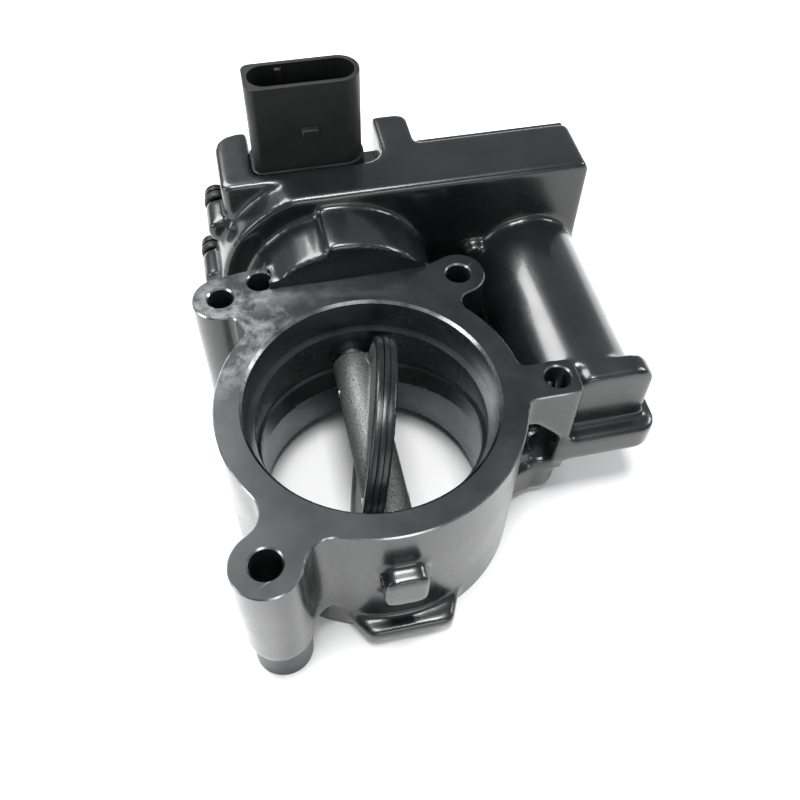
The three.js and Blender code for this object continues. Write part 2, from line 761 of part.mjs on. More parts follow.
// ---------------------------------------------------------------------------
// Flap, shaft, bearings and spring
// ---------------------------------------------------------------------------
const positionMagnetRadius = 4;
const wheelTipRadius = (firstModule * (wheelTeeth + 2)) / 2;
const wheelPassesMagnet = wheelTipRadius + positionMagnetRadius + gap > secondCentres;
const positionMagnetRear = wheelPassesMagnet ? wheelLevel.from - gap : wheelLevel.to - 1;
const frontBearingFront = boreRadius + 2 + frontBoss.bearingLength;
const flapPinRadius = 1;
const flapPinOffset = 17;

const openFlap = (body) => swing(body, yAxis, flapCentre, -flapRest);

function throttleFlap() {
  const rim = flapRimThickness / 2;
  const web = flapWebThickness / 2;
  const inner = flapRadius - flapRimWidth;
  const edge = 0.3; // the rim's small edge bevel
  const step = 0.8; // the slope between web and rim
  const disc = inFlapPlane(
    turned([
      [0, -web],
      [inner - step, -web],
      [inner, -rim],
      [flapRadius - edge, -rim],
      [flapRadius, -rim + edge],
      [flapRadius, rim - edge],
      [flapRadius - edge, rim],
      [inner, rim],
      [inner - step, web],
      [0, web],
    ], boreSides),
  );
  const groove = inFlapPlane(
    cut(
      upright(boreAxis, flapRadius + 2, -sealRing.width / 2 - gap, sealRing.width / 2 + gap, boreSides),
      upright(boreAxis, ringOuterRadius - sealRing.depth - gap, -3, 3, boreSides),
    ),
  );
  const hub = lying(shaftAxis, hubRadius, -hubHalfLength, hubHalfLength, 24);
  const shaftWay = lying(shaftAxis, shaftRadius + gap, -2 * hubHalfLength, 2 * hubHalfLength, 20);
  const pinHoles = [-flapPinOffset, flapPinOffset].map((y) =>
    flapPinBar(y, flapPinRadius + gap, hubRadius + 2),
  );
  return openFlap(cut(join(disc, hub), groove, shaftWay, ...pinHoles));
}

// A pin across the shaft, square to the closed flap's face.
function flapPinBar(y, radius, reach) {
  return upright(point(0, y), radius, shaftHeight - reach, shaftHeight + reach, 12);
}

function flapSealRing() {
  const half = sealRing.width / 2;
  const ring = cut(
    upright(boreAxis, ringOuterRadius, -half, half, boreSides),
    upright(boreAxis, ringOuterRadius - sealRing.depth, -2, 2, boreSides),
  );
  const split = block([-sealRing.split / 2, sealRing.split / 2], [-flapRadius - 2, 0], [-2, 2]);
  const turnedSplit = swing(split, new THREE.Vector3(0, 0, 1), new THREE.Vector3(), 150);
  return openFlap(inFlapPlane(cut(ring, turnedSplit)));
}

function throttleShaft() {
  const bar = lying(shaftAxis, shaftRadius, -frontBearingFront + 1, sectorLevel.to - 2 - gap);
  const pins = [-flapPinOffset, flapPinOffset].map((y) => flapPinBar(y, flapPinRadius + gap, hubRadius + 2));
  return openFlap(cut(bar, ...pins));
}

function ringSolid(axis, outer, inner, front, rear, sides = 28) {
  return cut(lying(axis, outer, front, rear, sides), lying(axis, inner, front - 1, rear + 1, 20));
}

// A coil of wire about the shaft, wound from front to rear.
function returnSpring() {
  const front = caseFloorRear - springChamber.depth + spring.wire / 2 + gap;
  const steps = Math.round(spring.turns * 12);
  const coil = [];
  for (let step = 0; step <= steps; step += 1) {
    const turn = (step / steps) * spring.turns;
    const angle = 2 * Math.PI * turn;
    coil.push(
      new THREE.Vector3(
        shaftAxis.x + spring.radius * Math.cos(angle),
        front + spring.pitch * turn * springFit,
        shaftAxis.y + spring.radius * Math.sin(angle),
      ),
    );
  }
  const section = new THREE.Shape();
  section.absarc(0, 0, spring.wire / 2, 0, 2 * Math.PI, false);
  return solid(
    new THREE.ExtrudeGeometry(section, {
      extrudePath: new THREE.CatmullRomCurve3(coil),
      steps,
      curveSegments: 3,
      bevelEnabled: false,
    }),
  );
}
const springRoom =
  sectorLevel.from - sectorHub.front - gap - (caseFloorRear - springChamber.depth + gap) - spring.wire;
const springFit = Math.min(1, springRoom / (spring.pitch * spring.turns));

// ---------------------------------------------------------------------------
// Motor
// ---------------------------------------------------------------------------
const motorScrewRadius = 1.5;
const motorPlateLug = motorCanRadius + 3.4;
const motorScrewHeadRadius = 3;
const clearOfPinion = (secondModule * (smallTeeth + 2)) / 2 + motorScrewHeadRadius + gap;
const swingCosine =
  (firstCentres ** 2 + motorPlateLug ** 2 - clearOfPinion ** 2) / (2 * firstCentres * motorPlateLug);
const leastSwing = Math.acos(Math.min(1, swingCosine)) / degrees;
const upperScrewAngle = 180 + secondLegAngle - Math.max(17, leastSwing);
const motorScrewAxes = [upperScrewAngle, -60].map((angle) =>
  motorAxis.clone().add(polar(motorPlateLug, angle)),
);
const canFront = motorFront + motorWall + gap;
const canRear = canFront + motorCanLength;
const plateFront = caseFloorRear + gap;
const plateRear = plateFront + 1.5;

function motorCan() {
  const shell = cut(
    lying(motorAxis, motorCanRadius, canFront, canRear, 32),
    lying(motorAxis, motorCanRadius - canWall, canFront + canWall, canRear + 1, 32),
  );
  const nose = cut(
    lying(motorAxis, canNose.radius, canFront, canFront + canNose.length, 20),
    lying(motorAxis, canNose.bore, canFront + canWall, canFront + canNose.length + 1, 20),
  );
  return join(shell, nose);
}

function motorMagnet(side) {
  const outer = motorCanRadius - canWall - gap;
  const bend = cut(
    lying(motorAxis, outer, canFront + magnetSpan.from, canFront + magnetSpan.to, 32),
    lying(motorAxis, outer - magnetThickness, canFront, canRear, 32),
  );
  const half = side > 0 ? [motorAxis.x + 2.5, motorAxis.x + 20] : [motorAxis.x - 20, motorAxis.x - 2.5];
  return bend.intersect(block(half, [canFront, canRear], [motorAxis.y - 20, motorAxis.y + 20]));
}

const armatureRadius = motorCanRadius - canWall - gap - magnetThickness - airGap;
function motorArmature() {
  const outline = new THREE.Shape();
  const poles = 5;
  const outer = armatureRadius;
  for (let pole = 0; pole < poles; pole += 1) {
    const middle = (2 * Math.PI * pole) / poles;
    const wide = Math.PI / poles - 0.12;
    outline.absarc(0, 0, outer, middle - wide, middle + wide, false);
    outline.absarc(0, 0, outer - 1.6, middle + wide, middle + 0.28, true);
    outline.absarc(0, 0, 4, middle + 0.34, middle + (2 * Math.PI) / poles - 0.34, false);
    outline.absarc(
      0,
      0,
      outer - 1.6,
      middle + (2 * Math.PI) / poles - 0.28,
      middle + (2 * Math.PI) / poles - wide,
      true,
    );
  }
  const core = gear(motorAxis, outline, { from: canFront + coreSpan.from, to: canFront + coreSpan.to });
  return cut(core, lying(motorAxis, motorShaftRadius + gap, canFront, canRear, 20));
}

// The end turns of the winding, as one ring behind the core.
function armatureWinding() {
  const outer = armatureRadius - 1.9;
  return ringSolid(
    motorAxis,
    outer,
    motorShaftRadius + 2.2,
    canFront + coreSpan.to + gap,
    canFront + windingEnd,
    24,
  );
}

function motorPlate() {
  const disc = lying(motorAxis, motorCanRadius - 0.5, plateFront, plateRear, 32);
  const lugs = motorScrewAxes.map((at) => lying(at, 4, plateFront, plateRear, 16));
  const arms = motorScrewAxes.map((at) => drawn(tangentWeb(motorAxis, 6, at, 4), plateFront, plateRear));
  const holes = motorScrewAxes.map((at) =>
    lying(at, motorScrewRadius + gap, plateFront - 1, plateRear + 1, 12),
  );
  return cut(
    join(disc, ...lugs, ...arms),
    ...holes,
    lying(motorAxis, 4 + gap, plateFront - 1, plateRear + 1, 20),
  );
}

// ---------------------------------------------------------------------------
// Cover, connector, sensor and fasteners
// ---------------------------------------------------------------------------
const domeTop = tower.floor - gap - 0.2;
const screwSeat = coverFront + coverFlange + 0.8;

function coverOuter(front, rear, inset, top) {
  const limit = block([-2 * caseRound.radius, 2 * blockRight], [front - 1, rear + 1], [0.4, top]);
  return caseOutline(front, rear, inset).intersect(limit);
}

function shroudSolid() {
  const outline = roundedRectangle(shroud.left, shroud.front, shroud.right, shroud.rear, [2, 5.6, 5.6, 2.4]);
  const wall = shroud.wall;
  const inner = (shroud.rear - shroud.front) / 2 - wall;
  const socketOutline = roundedRectangle(
    shroud.left + wall,
    shroud.front + wall,
    shroud.right - wall,
    shroud.rear - wall,
    inner - 0.05,
  );
  const column = raised(outline, pocket.floor + gap, shroud.top, 3);
  const collar = raised(
    roundedRectangle(
      shroud.left,
      shroud.front - 0.05,
      shroud.right + 2 * shroudCollar.overhang,
      shroud.rear,
      [2, 5, 5, 2.4],
    ),
    pocket.floor + gap,
    blockTop + shroudCollar.rise,
  );
  const foot = block(
    [shroud.left, shroud.right + shroudCollar.overhang],
    [coverFront, coverFront + coverDepth - 1],
    [domeTop - 6, blockTop - 1],
  );
  const latch = block(
    [-4.6, 0.2],
    [shroud.front - 1.4, shroud.front + 1],
    [shroud.top - 15.6, shroud.top - 12],
  );
  const socket = raised(socketOutline, shroud.top - shroud.socketDepth, shroud.top + 1, 4);
  return { body: join(column, collar, foot, latch), socket };
}

const terminalXs = Array.from(
  { length: terminalCount },
  (_, index) => (shroud.left + shroud.right) / 2 + (index - (terminalCount - 1) / 2) * terminal.pitch,
);
const terminalY = (shroud.front + shroud.rear) / 2 + 1.6;
const socketFloor = shroud.top - shroud.socketDepth;

function gearCover() {
  const flange = join(
    coverOuter(coverFront, coverFront + coverFlange, 1, blockTop - 2),
    ...coverScrews.map((at) => lying(at, coverLugRadius, coverFront, screwSeat, 16)),
  );
  const underTower = block(
    [tower.left - gap - 1.5, tower.right + gap],
    [coverFront - 1, tower.rear + 1],
    [domeTop, blockTop + 1],
  );
  const dome = coverOuter(coverFront + 1, coverRear, caseWall + 1, domeTop);
  const hollow = coverOuter(
    coverFront - 1,
    coverRear - coverWall,
    caseWall + 1 + coverWall,
    domeTop - coverWall,
  );
  const { body, socket } = shroudSolid();
  const holes = coverScrews.map((at) => lying(at, coverScrewRadius + gap, coverFront - 1, coverRear + 1, 12));
  const washers = coverScrews.map((at) => lying(at, coverLugRadius + 0.6, screwSeat, coverRear + 1, 16));
  const slots = terminalXs.map((x) => terminalBar(x, gap));
  const shell = cut(join(cut(flange, underTower), dome, body), hollow);
  return cut(shell, socket, ...holes, ...washers, ...slots);
}

function terminalBar(x, play = 0) {
  const half = terminal.width / 2 + play;
  const thick = terminal.thickness / 2 + play;
  const bottom = domeTop - 12;
  return block(
    [x - half, x + half],
    [terminalY - thick, terminalY + thick],
    [bottom - play, socketFloor + terminal.exposed],
  );
}

// A gasket that follows the case wall, in the joint between case and cover.
const sealThickness = 1.2;
function coverSeal() {
  const outer = caseOutline(caseRear - sealThickness, caseRear + 0.1, caseWall + gap);
  const inner = caseOutline(caseRear - 3, caseRear + 1, caseWall + gap + 1.4);
  const inCase = block(
    [-2 * caseRound.radius, 2 * blockRight],
    [caseFront, caseRear + 1],
    [0, tower.floor - gap],
  );
  const rightPart = block([tower.right + gap, 2 * blockRight], [caseFront, caseRear + 1], [0, blockTop]);
  const corners = coverScrews.slice(0, 2);
  const collars = corners.map((at) =>
    lying(at, coverLugRadius + gap + 1.4, caseRear - sealThickness, caseRear + 0.1, 20),
  );
  const bosses = corners.map((at) => lying(at, coverLugRadius + gap, caseFront, caseRear + 1, 20));
  const ring = join(cut(outer, inner), ...collars.map((collar) => collar.intersect(outer)));
  return cut(ring.intersect(join(inCase, rightPart)), ...bosses);
}

function screw(at, radius, front, seat, headRadius, headHeight) {
  const body = join(
    lying(at, radius, front, seat + 1, 12),
    lying(at, headRadius, seat, seat + headHeight, 16),
  );
  const socketAt = seat + headHeight - 0.55 * headHeight;
  return cut(body, lying(at, 0.5 * headRadius, socketAt, seat + headHeight + 1, 6));
}

// ---------------------------------------------------------------------------
// Everything in its place
// ---------------------------------------------------------------------------
add("main_housing", mainHousing(), "casting");

add("throttle_shaft", throttleShaft(), "steel");
add("throttle_flap", throttleFlap(), "flapCasting");
add("flap_seal_ring", flapSealRing(), "darkSteel");
[-flapPinOffset, flapPinOffset].forEach((y, index) => {
  add(`flap_pin_${index + 1}`, openFlap(flapPinBar(y, flapPinRadius, hubRadius + 0.2)), "steel");
});
add(
  "front_bearing",
  ringSolid(
    shaftAxis,
    frontBoss.bearingRadius,
    shaftRadius + runningClearance,
    -frontBearingFront,
    -boreRadius - 1,
  ),
  "brass",
);
const bearingFront = rearBearing.face + gap;
const bearingRear = bearingFront + rearBearing.width;
add(
  "rear_bearing_outer_ring",
  ringSolid(shaftAxis, rearBearing.outerRadius, rearBearing.outerRadius - 1.2, bearingFront, bearingRear),
  "steel",
);
add(
  "rear_bearing_inner_ring",
  ringSolid(shaftAxis, rearBearing.innerRadius, shaftRadius + gap, bearingFront, bearingRear),
  "steel",
);
add(
  "shaft_seal",
  ringSolid(
    shaftAxis,
    shaftSeal.radius,
    shaftRadius + runningClearance,
    bearingFront - gap - shaftSeal.width,
    bearingFront - gap,
  ),
  "rubber",
);
add("return_spring", returnSpring(), "steel");

add("throttle_gear", throttleGear(), "gearPlastic");
add(
  "position_magnet",
  lying(shaftAxis, positionMagnetRadius, sectorLevel.to - 1 + gap, positionMagnetRear, 28),
  "magnet",
);
add("intermediate_gear", intermediateGear(), "gearPlastic");
add(
  "intermediate_axle",
  lying(axleAxis, axleRadius, caseFront + 1 + gap, coverRear - coverWall - 1.5, 24),
  "steel",
);
add("motor_pinion", motorPinion(), "brass");

add("motor_can", motorCan(), "steel");
add("motor_magnet_left", motorMagnet(-1), "magnet");
add("motor_magnet_right", motorMagnet(1), "magnet");
add("motor_shaft", lying(motorAxis, motorShaftRadius, canFront + 1.5, wheelLevel.to + 0.4, 20), "steel");
add("motor_armature", motorArmature(), "darkSteel");
add("armature_winding", armatureWinding(), "copper");
add(
  "motor_commutator",
  ringSolid(
    motorAxis,
    4.4,
    motorShaftRadius + gap,
    canFront + commutatorSpan.from,
    canFront + commutatorSpan.to,
    20,
  ),
  "copper",
);
add(
  "motor_front_bush",
  ringSolid(
    motorAxis,
    canNose.bore - gap,
    motorShaftRadius + runningClearance,
    canFront + canWall + gap,
    canFront + canNose.length - 0.2,
    24,
  ),
  "brass",
);
add(
  "motor_rear_bush",
  ringSolid(motorAxis, 4, motorShaftRadius + runningClearance, plateFront, plateRear + 0.8, 24),
  "brass",
);
add("motor_plate", motorPlate(), "darkSteel");
[-1, 1].forEach((side) => {
  const x = motorAxis.x + side * brush.offset;
  const body = block(
    [x - brush.halfWidth, x + brush.halfWidth],
    [canFront + brush.from, canFront + brush.to],
    [motorAxis.y - brush.halfHeight, motorAxis.y + brush.halfHeight],
  );
  add(side < 0 ? "motor_brush_left" : "motor_brush_right", body, "copper");
});
motorScrewAxes.forEach((at, index) => {
  add(
    `motor_screw_${index + 1}`,
    screw(at, motorScrewRadius, caseFront - 1.6, plateRear + gap, motorScrewHeadRadius, 2),
    "steel",
  );
});

add("gear_cover", gearCover(), "blackPlastic");
add("cover_seal", coverSeal(), "rubber");
coverScrews.forEach((at, index) => {
  const seat = screwSeat + gap;
  add(
    `cover_screw_${index + 1}`,
    screw(at, coverScrewRadius, caseRear - coverLugLength + 2.5, seat, 3.4, 2.6),
    "steel",
  );
});
terminalXs.forEach((x, index) => {
  const bottom = domeTop - 12 + gap;
  const half = terminal.width / 2;
  const thick = terminal.thickness / 2;
  const top = socketFloor + terminal.exposed;
  const blade = block([x - half, x + half], [terminalY - thick, terminalY + thick], [bottom, top]);
  add(`terminal_${index + 1}`, blade, "brass");
});
const boardFront = coverRear - coverWall - board.thickness - board.standoff;
const boardBody = block(
  [board.left, board.right],
  [boardFront, boardFront + board.thickness],
  [shaftHeight - board.below, shaftHeight + board.above],
);
add("sensor_board", boardBody, "board");
const chipBody = block(
  [-chip.half, chip.half],
  [boardFront - chip.thickness - gap, boardFront - gap],
  [shaftHeight - chip.half, shaftHeight + chip.half],
);
add("sensor_chip", chipBody, "blackPlastic");

// The assembly is centred over the origin and stands on its lowest point.
const extent = new THREE.Box3().setFromObject(assembly);
const middle = extent.getCenter(new THREE.Vector3());
assembly.position.set(-middle.x, -middle.y, -extent.min.z);

export default assembly;
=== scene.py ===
"""A motorised throttle body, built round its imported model.

The castings, mouldings, screws and terminals are shaped first, then the floor, the lights and the camera.
"""

import json
import logging
import math
from dataclasses import dataclass
from enum import Enum
from typing import Callable, Iterable, Sequence

import bpy
from mathutils import Matrix, Vector


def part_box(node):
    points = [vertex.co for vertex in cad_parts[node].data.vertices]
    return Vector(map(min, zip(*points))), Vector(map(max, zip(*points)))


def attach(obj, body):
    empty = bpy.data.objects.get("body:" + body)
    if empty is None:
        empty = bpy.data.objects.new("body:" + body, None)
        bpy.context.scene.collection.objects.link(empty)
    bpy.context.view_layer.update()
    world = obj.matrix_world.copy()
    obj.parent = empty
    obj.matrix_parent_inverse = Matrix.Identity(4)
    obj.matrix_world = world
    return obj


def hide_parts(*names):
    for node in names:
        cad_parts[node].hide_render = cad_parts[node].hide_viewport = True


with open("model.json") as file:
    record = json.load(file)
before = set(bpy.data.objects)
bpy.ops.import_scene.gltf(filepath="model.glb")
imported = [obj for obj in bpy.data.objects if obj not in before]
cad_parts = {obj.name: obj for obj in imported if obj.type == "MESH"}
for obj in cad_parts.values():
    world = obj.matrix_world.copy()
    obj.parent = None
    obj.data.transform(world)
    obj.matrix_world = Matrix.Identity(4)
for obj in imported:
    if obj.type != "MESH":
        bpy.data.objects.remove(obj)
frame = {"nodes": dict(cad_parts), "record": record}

log = logging.getLogger("throttle_body")

MM = 0.001
WELD = 0.002 * MM  # how close two vertices of a carried-over node are when they are one
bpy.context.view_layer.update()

Part = bpy.types.Object
Node = bpy.types.Node
Socket = bpy.types.NodeSocket
Tree = bpy.types.NodeTree
Colour = tuple[float, float, float]
Profile = Sequence[tuple[float, float]]


# ---------------------------------------------------------------------------
# Places shared by the pieces
# ---------------------------------------------------------------------------
@dataclass(frozen=True)
class Layout:
    """Where the bore and the shafts stand in the row frame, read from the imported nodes."""

    bore_x: float
    bore_y: float
    shaft_z: float

    @classmethod
    def from_nodes(cls) -> "Layout":
        """Finds the bore axis from the two flap pins, which stand either side of it.

        Returns:
            The layout, in metres.
        """
        pins = [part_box(f"flap_pin_{n}") for n in (1, 2)]
        middle = sum((low + high for low, high in pins), Vector()) / 4
        return cls(middle.x, middle.y, middle.z)

    def at(self, x: float, y: float, z: float) -> Vector:
        """Turns millimetres from the bore axis and the base into a place in the row frame."""
        return Vector((self.bore_x + x * MM, self.bore_y + y * MM, z * MM))


LAYOUT = Layout.from_nodes()


class Axis(Enum):
    """The way a turned piece stands."""

    UPRIGHT = "z"
    LYING = "y"


# ---------------------------------------------------------------------------
# Bench work: what every piece is shaped with
# ---------------------------------------------------------------------------
def only(obj: Part) -> None:
    """Selects one object alone and makes it active."""
    if bpy.context.mode != "OBJECT":
        bpy.ops.object.mode_set(mode="OBJECT")
    bpy.ops.object.select_all(action="DESELECT")
    obj.hide_set(False)
    obj.select_set(True)
    bpy.context.view_layer.objects.active = obj


def settle(obj: Part, name: str) -> Part:
    """Names an object and puts its place into its mesh.

    Args:
        obj: The object to settle.
        name: Its new name.

    Returns:
        The same object, at the origin.
    """
    only(obj)
    bpy.ops.object.transform_apply(location=True, rotation=True, scale=True)
    obj.name = name
    obj.data.name = name
    return obj


def modify(obj: Part, kind: str, **settings: object) -> Part:
    """Adds one modifier, sets it and applies it.

    Args:
        obj: The object to change.
        kind: The modifier's type.
        **settings: Its properties.

    Returns:
        The same object.
    """
    only(obj)
    modifier = obj.modifiers.new(kind.lower(), kind)
    for key, value in settings.items():
        setattr(modifier, key, value)
    bpy.ops.object.modifier_apply(modifier=modifier.name)
    return obj


def choose(obj: Part, test: Callable[[Vector], bool]) -> int:
    """Selects the vertices that pass a test and opens the object in edit mode.

    Args:
        obj: The object to open.
        test: Says of a place in the row frame whether its vertex is wanted.

    Returns:
        How many vertices were selected.
    """
    only(obj)
    bpy.ops.object.mode_set(mode="EDIT")
    bpy.ops.mesh.select_mode(type="VERT")
    bpy.ops.mesh.select_all(action="DESELECT")
    bpy.ops.object.mode_set(mode="OBJECT")
    count = 0
    for vertex in obj.data.vertices:
        vertex.select = test(vertex.co)
        count += vertex.select
    bpy.ops.object.mode_set(mode="EDIT")
    return count


def done() -> None:
    """Leaves edit mode."""
    bpy.ops.object.mode_set(mode="OBJECT")


def tidy_faces(obj: Part, distance: float = 0.01 * MM) -> Part:
    """Merges doubles and turns all faces outwards.

    Args:
        obj: The object to tidy.
        distance: How close two vertices are when they are one.

    Returns:
        The same object.
    """
    only(obj)
    bpy.ops.object.mode_set(mode="EDIT")
    bpy.ops.mesh.select_all(action="SELECT")
    bpy.ops.mesh.remove_doubles(threshold=distance)
    bpy.ops.mesh.normals_make_consistent(inside=False)
    done()
    return obj


def bar(name: str, at: Vector, axis: Axis, radius: float, reach: float, sides: int = 96) -> Part:
    """A round bar from a point along its axis.

    Args:
        name: The bar's name.
        at: The centre of its first end, in metres.
        axis: Which way it runs.
        radius: In millimetres.
        reach: Its length in millimetres, towards +Z or +Y.
        sides: How many sides its outline has.

    Returns:
        The bar.
    """
    bpy.ops.object.select_all(action="DESELECT")
    along = Vector((0, 0, 1)) if axis is Axis.UPRIGHT else Vector((0, 1, 0))
    turn = (0, 0, 0) if axis is Axis.UPRIGHT else (math.pi / 2, 0, 0)
    bpy.ops.mesh.primitive_cylinder_add(
        vertices=sides,
        radius=radius * MM,
        depth=reach * MM,
        location=at + along * reach * MM / 2,
        rotation=turn,
    )
    return settle(bpy.context.active_object, name)


def slab(name: str, low: Vector, high: Vector) -> Part:
    """A block between two corners given in metres."""
    bpy.ops.object.select_all(action="DESELECT")
    bpy.ops.mesh.primitive_cube_add(size=1, location=(low + high) / 2)
    obj = bpy.context.active_object
    obj.scale = high - low
    return settle(obj, name)


def turning(name: str, profile: Profile, sides: int = 160) -> Part:
    """A solid turned about the bore axis.

    A disc is extruded and scaled once for each point of the profile.

    Args:
        name: The solid's name.
        profile: Radius and height of each ring in millimetres, from the lowest.
        sides: How many sides its outline has.

    Returns:
        The solid.
    """
    bpy.ops.object.select_all(action="DESELECT")
    radius, height = profile[0]
    centre = LAYOUT.at(0, 0, height)
    bpy.ops.mesh.primitive_circle_add(vertices=sides, radius=radius * MM, fill_type="NGON", location=centre)
    obj = settle(bpy.context.active_object, name)
    only(obj)
    bpy.ops.object.mode_set(mode="EDIT")
    bpy.ops.mesh.select_mode(type="FACE")
    bpy.ops.mesh.select_all(action="SELECT")
    for next_radius, next_height in profile[1:]:
        rise = (0, 0, (next_height - height) * MM)
        bpy.ops.mesh.extrude_region_move(TRANSFORM_OT_translate={"value": rise})
        factor = next_radius / radius
        bpy.ops.transform.resize(value=(factor, factor, 1), center_override=LAYOUT.at(0, 0, next_height))
        radius, height = next_radius, next_height
    done()
    return tidy_faces(obj)


def about(at: Vector, degrees: float, axis: str) -> Matrix:
    """A turn about a line through a point.

    Args:
        at: The point.
        degrees: How far it turns.
        axis: The line's direction, X, Y or Z.

    Returns:
        The turn's matrix.
    """
    turn = Matrix.Rotation(math.radians(degrees), 4, axis)
    return Matrix.Translation(at) @ turn @ Matrix.Translation(-at)


def boolean(obj: Part, tool: Part, operation: str, solver: str = "MANIFOLD") -> None:
    """Joins, cuts or keeps with a tool, which is then thrown away.

    Args:
        obj: The object that is changed.
        tool: The other solid.
        operation: UNION, DIFFERENCE or INTERSECT.
        solver: The boolean solver.
    """
    modify(obj, "BOOLEAN", operation=operation, object=tool, solver=solver)
    mesh = tool.data
    bpy.data.objects.remove(tool)
    bpy.data.meshes.remove(mesh)


def cut(obj: Part, *tools: Part) -> Part:
    """Cuts tools out of an object, one after another."""
    for tool in tools:
        boolean(obj, tool, "DIFFERENCE")
    return obj


def unite(obj: Part, *pieces: Part) -> Part:
    """Joins pieces to an object as one solid."""
    for piece in pieces:
        boolean(obj, piece, "UNION")
    return obj


def gathered(obj: Part, pieces: Iterable[Part]) -> Part:
    """Puts several objects into one mesh without joining their walls.

    Args:
        obj: The object that takes the others in.
        pieces: The others.

    Returns:
        The first object.
    """
    only(obj)
    for piece in pieces:
        piece.select_set(True)
    bpy.context.view_layer.objects.active = obj
    bpy.ops.object.join()
    return obj


def node_copy(node: str, name: str) -> Part:
    """A free copy of a CAD node with its loose triangles merged.

    Args:
        node: The CAD node's name.
        name: The copy's name.

    Returns:
        The copy.
    """
    source = frame["nodes"][node]
    mesh = source.data.copy()
    mesh.materials.clear()
    obj = bpy.data.objects.new(name, mesh)
    bpy.context.scene.collection.objects.link(obj)
    only(obj)
    bpy.ops.object.mode_set(mode="EDIT")
    bpy.ops.mesh.select_all(action="SELECT")
    bpy.ops.mesh.remove_doubles(threshold=WELD)
    done()
    mesh.name = name
    return obj


def skinned(obj: Part, voxel: float, passes: int, factor: float = 0.5) -> Part:
    """Gives a solid one continuous skin and rounds its edges, as a casting or a moulding has them.

    Args:
        obj: The solid, or several that overlap.
        voxel: The skin's mesh size in millimetres.
        passes: How many times the skin is smoothed.
        factor: How far each pass moves it.

    Returns:
        The same object.
    """
    modify(obj, "REMESH", mode="VOXEL", voxel_size=voxel * MM, use_smooth_shade=True)
    modify(obj, "SMOOTH", factor=factor, iterations=passes)
    return obj


def lightened(obj: Part, limit: int) -> Part:
    """Thins a mesh to at most a number of triangles."""
    triangles = sum(len(face.vertices) - 2 for face in obj.data.polygons)
    if triangles > limit:
        modify(obj, "DECIMATE", decimate_type="COLLAPSE", ratio=limit / triangles)
    return obj


def smooth(obj: Part, degrees: float = 32) -> Part:
    """Shades a piece smooth up to an angle."""
    only(obj)
    bpy.ops.object.shade_smooth_by_angle(angle=math.radians(degrees))
    return obj


def soften(obj: Part, width: float, segments: int = 2, degrees: float = 30) -> Part:
    """Rounds a piece's sharp edges.

    Args:
        obj: The piece.
        width: The rounding in millimetres.
        segments: How many faces the rounding has.
        degrees: The least angle of an edge that is rounded.

    Returns:
        The same object.
    """
    return modify(
        obj,
        "BEVEL",
        width=width * MM,
        segments=segments,
        limit_method="ANGLE",
        angle_limit=math.radians(degrees),
        harden_normals=False,
    )


# ---------------------------------------------------------------------------
# Shader node groups shared by the finishes
# ---------------------------------------------------------------------------
class Graph:
    """A node tree under construction."""

    def __init__(self, tree: Tree) -> None:
        """Starts on a tree."""
        self.tree = tree

    def node(self, kind: str, inputs: dict[object, object] | None = None, **settings: object) -> Node:
        """Adds a node.

        Args:
            kind: The node's type.
            inputs: Values or output sockets for its inputs, by name or number.
            **settings: Its properties.

        Returns:
            The node.
        """
        made = self.tree.nodes.new(kind)
        for key, value in settings.items():
            setattr(made, key, value)
        for key, value in (inputs or {}).items():
            if isinstance(value, Socket):
                self.tree.links.new(value, made.inputs[key])
            else:
                made.inputs[key].default_value = value
        return made

    def place(self) -> Socket:
        """The surface point, in the piece's own coordinates."""
        return self.node("ShaderNodeTexCoord").outputs["Object"]

    def noise(self, place: Socket, scale: object, detail: float, **others: float) -> Socket:
        """Fractal noise over a place.

        Args:
            place: Where the noise is read.
            scale: Its scale, as a value or a socket.
            detail: How many octaves it has.
            **others: Other inputs by name, such as Roughness.

        Returns:
            The noise's value.
        """
        inputs = {"Vector": place, "Scale": scale, "Detail": detail, **others}
        return self.node("ShaderNodeTexNoise", inputs).outputs["Fac"]

    def spread(self, value: Socket, source: Sequence[float], target: Sequence[object]) -> Socket:
        """Maps a value from one range to another, held to its ends.

        Args:
            value: What is mapped.
            source: The range it comes from.
            target: The range it goes to, as values or sockets.

        Returns:
            The mapped value.
        """
        ends = ("From Min", "From Max", "To Min", "To Max")
        inputs = {"Value": value, **dict(zip(ends, (*source, *target)))}
        return self.node("ShaderNodeMapRange", inputs).outputs["Result"]

    def ramp(self, value: Socket, stops: Sequence[tuple[float, tuple[float, ...]]]) -> Socket:
        """A colour ramp over a value.

        Args:
            value: What the ramp reads.
            stops: Position and colour of each stop.

        Returns:
            The ramp's colour output.
        """
        made = self.node("ShaderNodeValToRGB", {"Fac": value})
        elements = made.color_ramp.elements
        while len(elements) < len(stops):
            elements.new(0.5)
        for element, (position, colour) in zip(elements, stops):
            element.position = position
            element.color = (*colour, 1) if len(colour) == 3 else (colour[0],) * 3 + (1,)
        return made.outputs["Color"]

    def math(self, operation: str, a: object, b: object, clamp: bool = False) -> Socket:
        """One step of arithmetic and its result."""
        return self.node("ShaderNodeMath", {0: a, 1: b}, operation=operation, use_clamp=clamp).outputs[0]

    def mix(self, factor: object, a: object, b: object) -> Socket:
        """Mixes two colours by a factor and gives the result."""
        made = self.node("ShaderNodeMix", data_type="RGBA")
        for key, value in ((0, factor), (6, a), (7, b)):
            if isinstance(value, Socket):
                self.tree.links.new(value, made.inputs[key])
            else:
                made.inputs[key].default_value = value
        return made.outputs[2]


